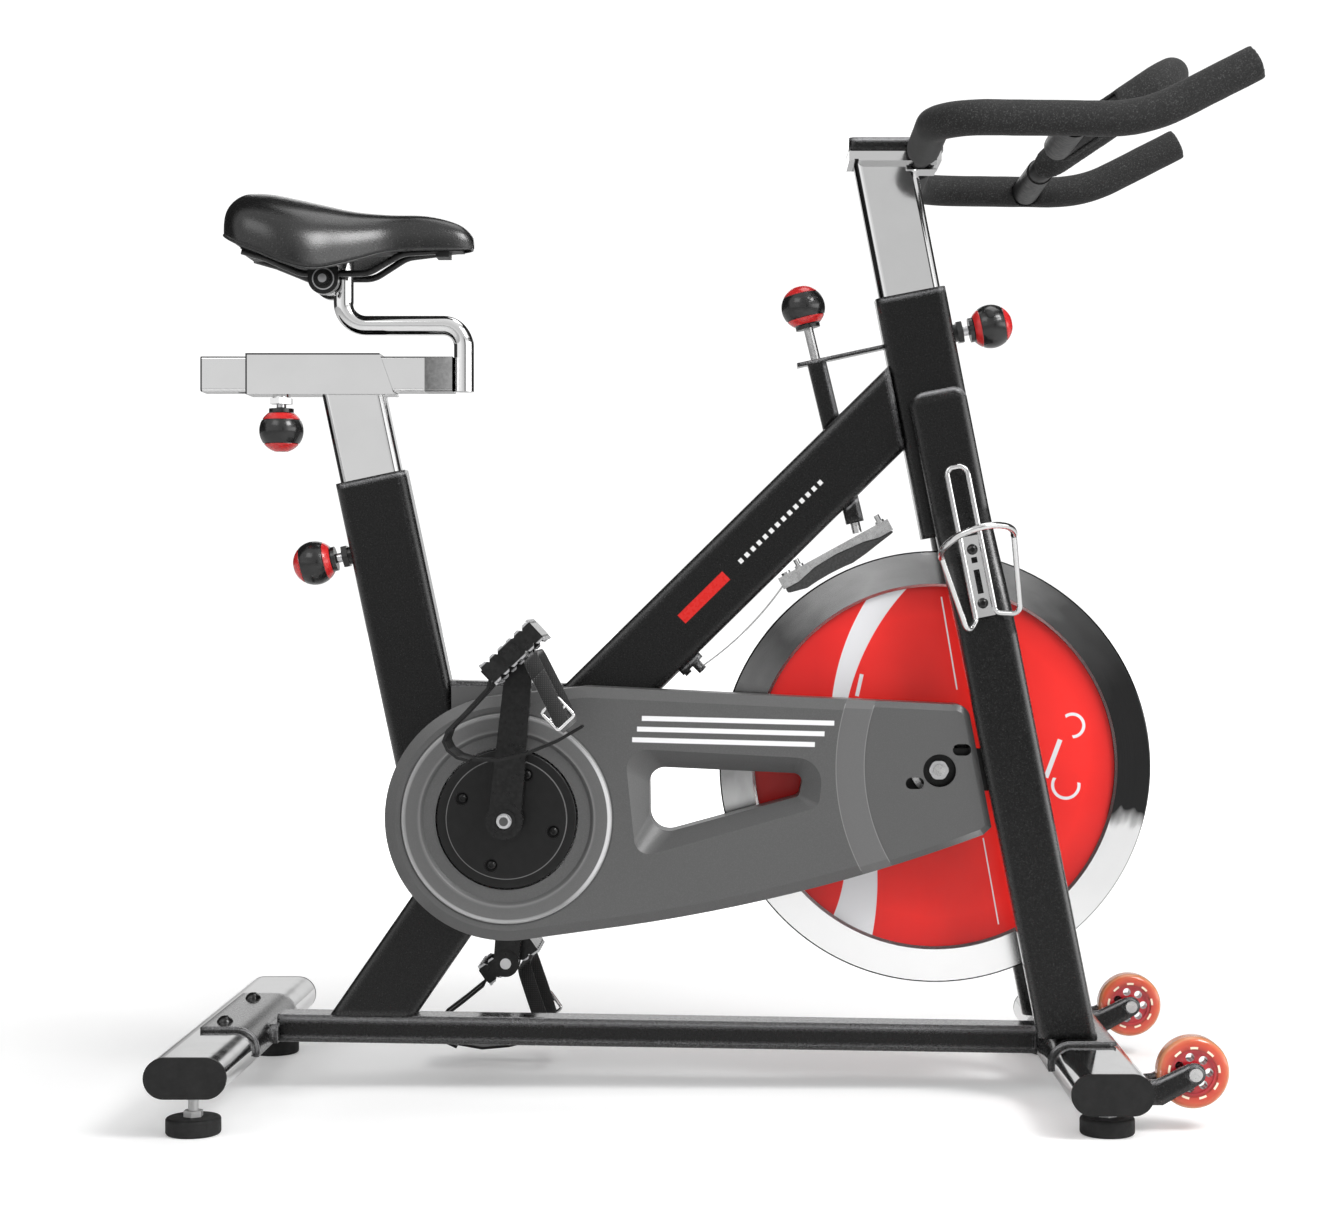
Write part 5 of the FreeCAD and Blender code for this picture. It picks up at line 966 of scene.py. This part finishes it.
def saddle_ring(t):
    """Closed cross-section of the padded cover at t from tail to nose."""
    x, half, edge, under, top = saddle_station(t)
    half = max(half, SADDLE_NOSE_HALF)
    right = []
    for i in range(SADDLE_HALF_POINTS + 1):
        a = math.pi / 2 * i / SADDLE_HALF_POINTS
        y = half * math.sin(a) ** SADDLE_CROWN[0]
        z = edge + (top - edge) * math.cos(a) ** SADDLE_CROWN[1]
        right.append((y, z))
    # round the skirt's edge and in under the saddle
    right += [(half * 0.985, edge - 1.2), (half * 0.93, edge - 1.6),
              (half * 0.86, edge + (under - edge) * 0.35), (half * 0.62, under)]
    ring = [Vector((x, -y, z)) * MM for y, z in right]
    ring.append(Vector((x, 0, under)) * MM)
    ring += [Vector((x, y, z)) * MM for y, z in reversed(right[1:])]
    return ring


def make_saddle():
    rings = [saddle_ring(i / (SADDLE_ROWS - 1)) for i in range(SADDLE_ROWS)]
    cover = new_object("saddle_cover", lofted(rings), vinyl().material, "saddle")
    smooth = cover.modifiers.new("smooth", "SUBSURF")
    smooth.levels = 1
    apply_modifiers(cover)
    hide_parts("saddle_pad")
    make_saddle_welt()


def make_saddle_welt():
    """Thin welt that runs round the skirt's lower edge."""
    right = []
    for i in range(2, WELT_STEPS - 1):
        x, half, edge = saddle_station(i / WELT_STEPS)[:3]
        right.append(Vector((x, -half * 0.965, edge - 1.9)) * MM)
    left = [Vector((p.x, -p.y, p.z)) for p in reversed(right)]
    curve = wire_curve("saddle_welt", WELT_RADIUS)
    spline = add_spline(curve, "NURBS", right + left, cyclic=True)
    spline.order_u = 3
    welt = wire_object(curve, moulded("welt_plastic", 0.02, 0.05, 0.30).material)
    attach(welt, "saddle")


# ------------------------------------------------------------------ foam grips and felt

LUMP_SIZE = 20 * MM
LUMP_HEIGHT = 0.5 * MM


def softened(node, name, voxel, rounds, material, body):
    """A copy of a CAD solid with softened edges and an uneven surface."""
    mesh = NODES[node].data.copy()
    mesh.materials.clear()
    piece = new_object(name, mesh, material, body)
    remesh = piece.modifiers.new("remesh", "REMESH")
    remesh.mode = "VOXEL"
    remesh.voxel_size = voxel
    ease = piece.modifiers.new("ease", "SMOOTH")
    ease.iterations = rounds
    ease.factor = 0.5
    clouds = bpy.data.textures.new(name + "_lumps", "CLOUDS")
    clouds.noise_scale = LUMP_SIZE
    push = piece.modifiers.new("lumps", "DISPLACE")
    push.texture = clouds
    push.strength = LUMP_HEIGHT
    push.mid_level = 0.5
    apply_modifiers(piece)
    piece.data.materials.clear()
    piece.data.materials.append(material)
    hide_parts(node)
    return piece


def make_soft_parts():
    grips = softened("handlebar_grips", "foam_grips", 2.4 * MM, 4, foam().material, "bar_post")
    pad = softened("brake_pad", "felt_pad", 1.6 * MM, 2, felt().material, "brake_shoe")


# ------------------------------------------------------------------ pedal straps

# across and out, in half widths and half thicknesses: a strap's slightly crowned section
RIBBON_SECTION = ((-1, -1), (0, -1.15), (1, -1), (1.05, 0), (1, 1), (0, 1.15), (-1, 1), (-1.05, 0))

# the loop's corners round the pedal and over the foot, v and w in the pedal's axes, mm
STRAP_CORNERS = ((15.5, 11), (15.5, 104), (58, 106.5), (86, 98), (92, 58), (86, 17), (58, 9.5))
STRAP_CORNER_R = 13 * MM

# the tail hangs outside the loop from its top, bowed out a little; mm
TAIL_TOP, TAIL_LENGTH, TAIL_W, TAIL_BOW = 86, 52, 108.4, 3.0
TAIL_STEPS = 8

# the buckle's middle in the pedal's axes and its size, mm
BUCKLE_V, BUCKLE_W = 75.0, 108.0
BUCKLE_HALF_HEIGHT = 12
BUCKLE_MARGIN = 3.0
BUCKLE_WIRE_R = 1.9 * MM


def ribbon(route, across, width, thickness, closed):
    """Flat strap along a route; across points along the strap's width."""
    rings = []
    count = len(route)
    side = across.normalized()
    for i, place in enumerate(route):
        before = route[(i - 1) % count] if closed or i > 0 else place
        after = route[(i + 1) % count] if closed or i < count - 1 else place
        face = (after - before).normalized().cross(side).normalized()
        rings.append([place + side * (u * width / 2) + face * (v * thickness / 2)
                      for u, v in RIBBON_SECTION])
    if closed:
        rings.append(rings[0])
    return lofted(rings, closed_ends=not closed)


def rounded_loop(corners, radius, steps):
    """Closed polyline with its corners rounded."""
    route = []
    count = len(corners)
    for i, corner in enumerate(corners):
        before = (corners[i - 1] - corner).normalized()
        after = (corners[(i + 1) % count] - corner).normalized()
        start = corner + before * radius
        end = corner + after * radius
        for k in range(steps + 1):
            t = k / steps
            route.append(start * (1 - t) ** 2 + corner * 2 * t * (1 - t) + end * t ** 2)
    return route


def strap_point(f, v, w):
    """A place on the strap's leaning plane."""
    return f.at(STRAP_BACK + STRAP_LEAN * v, v, w)


def make_strap(hand, sign, angle, cloth):
    """Strap loop over the foot, its loose tail and its buckle."""
    f = PedalFrame(hand, sign, angle)
    body = "pedal_" + hand
    corners = [strap_point(f, v, w) for v, w in STRAP_CORNERS]
    loop = ribbon(rounded_loop(corners, STRAP_CORNER_R, 8), f.u, STRAP_WIDTH, STRAP_T, True)
    band = new_object("toe_strap_band_" + hand, loop, cloth, body)
    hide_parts("toe_strap_" + hand)
    shares = [i / TAIL_STEPS for i in range(TAIL_STEPS + 1)]
    tail_route = [strap_point(f, TAIL_TOP - TAIL_LENGTH * t,
                              TAIL_W + TAIL_BOW * math.sin(math.pi * t)) for t in shares]
    tail = ribbon(tail_route, f.u, STRAP_WIDTH * 0.94, STRAP_T, False)
    new_object("toe_strap_tail_" + hand, tail, cloth, body)
    make_buckle(f, hand, body)


def make_buckle(f, hand, body):
    """Bent wire frame and cross bar of the strap's buckle."""
    shine = bpy.data.materials.get("buckle_chrome") or chrome("buckle_chrome", 0.14).material
    half_u = STRAP_WIDTH / MM / 2 + BUCKLE_MARGIN
    half_v = BUCKLE_HALF_HEIGHT

    def spot(u, v):
        return f.at(STRAP_BACK + STRAP_LEAN * BUCKLE_V + u, BUCKLE_V + v, BUCKLE_W)

    outline = rounded_loop([spot(-half_u, -half_v), spot(half_u, -half_v), spot(half_u, half_v),
                            spot(-half_u, half_v)], 3 * MM, 4)
    curve = wire_curve("buckle_frame_" + hand, BUCKLE_WIRE_R)
    add_spline(curve, "POLY", outline, cyclic=True)
    add_spline(curve, "POLY", [spot(-half_u, -1), spot(half_u, -1)], cyclic=False)
    piece = wire_object(curve, shine)
    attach(piece, body)


def make_straps():
    cloth = webbing().material
    for hand, sign, angle in PEDALS:
        make_strap(hand, sign, angle, cloth)


# ------------------------------------------------------------------ light and floor

# grey levels of the studio that the bike mirrors. Round the horizon: 0 and 1 behind the bike,
# 0.25 its rear, 0.5 the camera, 0.75 its front. Overhead: 0 the camera's side, 1 behind the bike.
HORIZON = [
    (0.000, 0.120), (0.035, 0.120), (0.050, 0.006), (0.275, 0.006), (0.290, 0.170),
    (0.415, 0.170), (0.450, 0.135), (0.485, 0.125), (0.505, 0.108), (0.535, 0.105),
    (0.542, 0.005), (0.562, 0.005), (0.577, 0.180), (0.600, 0.180), (0.640, 0.480),
    (0.770, 0.600), (0.785, 0.006), (0.950, 0.006), (0.965, 0.120), (1.000, 0.120)]
OVERHEAD = [(0.0, 0.11), (0.42, 0.16), (0.50, 0.005), (1.0, 0.005)]
STUDIO_STRENGTH = 6.25
BACKDROP_STRENGTH = 1.1
FLOOR_HALF = 30.0


def area_light(name, place, size_x, size_y, power):
    data = bpy.data.lights.new(name, "AREA")
    data.shape = "RECTANGLE"
    data.size = size_x
    data.size_y = size_y
    data.energy = power
    light = bpy.data.objects.new(name, data)
    light.location = place
    toward = Vector((0.0, 0.0, 0.5)) - Vector(place)
    light.rotation_euler = toward.to_track_quat("-Z", "Y").to_euler()
    bpy.context.collection.objects.link(light)


def make_world():
    """White backdrop; reflections see a studio with bright and dark stretches round the bike."""
    world = bpy.data.worlds.new("studio")
    bpy.context.scene.world = world
    world.use_nodes = True
    world.node_tree.nodes.clear()
    n = Nodes(world.node_tree)
    x, y, z = n.add("SeparateXYZ", n.add("TexCoord").outputs["Generated"]).outputs
    turn = n.math("ARCTAN2", x, n.math("MULTIPLY", y, -1.0))
    horizon = n.ramp(n.range(turn, -math.pi, math.pi), *HORIZON)
    overhead = n.ramp(n.range(y, -1.0, 1.0), *OVERHEAD)
    mirrored = n.mix(n.range(z, 0.23, 0.26), horizon, overhead)
    studio = n.add("Background", mirrored, STUDIO_STRENGTH).outputs[0]
    backdrop = n.add("Background", (1.0, 1.0, 1.0), BACKDROP_STRENGTH).outputs[0]
    seen = n.add("LightPath").outputs["Is Camera Ray"]
    n.add("OutputWorld", n.add("MixShader", seen, studio, backdrop).outputs[0])


def make_floor():
    half = FLOOR_HALF
    mesh = bpy.data.meshes.new("floor")
    mesh.from_pydata([(-half, -half, GROUND), (half, -half, GROUND), (half, half, GROUND),
                      (-half, half, GROUND)], [], [(0, 1, 2, 3)])
    floor = bpy.data.objects.new("floor", mesh)
    bpy.context.collection.objects.link(floor)
    mesh.materials.append(floor_paper().material)


def make_studio():
    make_world()
    make_floor()
    area_light("key", (1.9, -1.7, 2.7), 1.2, 1.2, 72)
    area_light("fill", (-1.6, -2.2, 2.6), 1.6, 1.2, 14)
    area_light("top", (0.5, 0.5, 3.2), 1.6, 1.2, 15)
    area_light("back_fill", (0.2, 3.4, 2.2), 3.0, 1.5, 20)


def main():
    bpy.context.scene.view_settings.view_transform = "Standard"
    make_camera()
    finish_cad()
    make_saddle()
    make_soft_parts()
    make_straps()
    make_studio()


main()
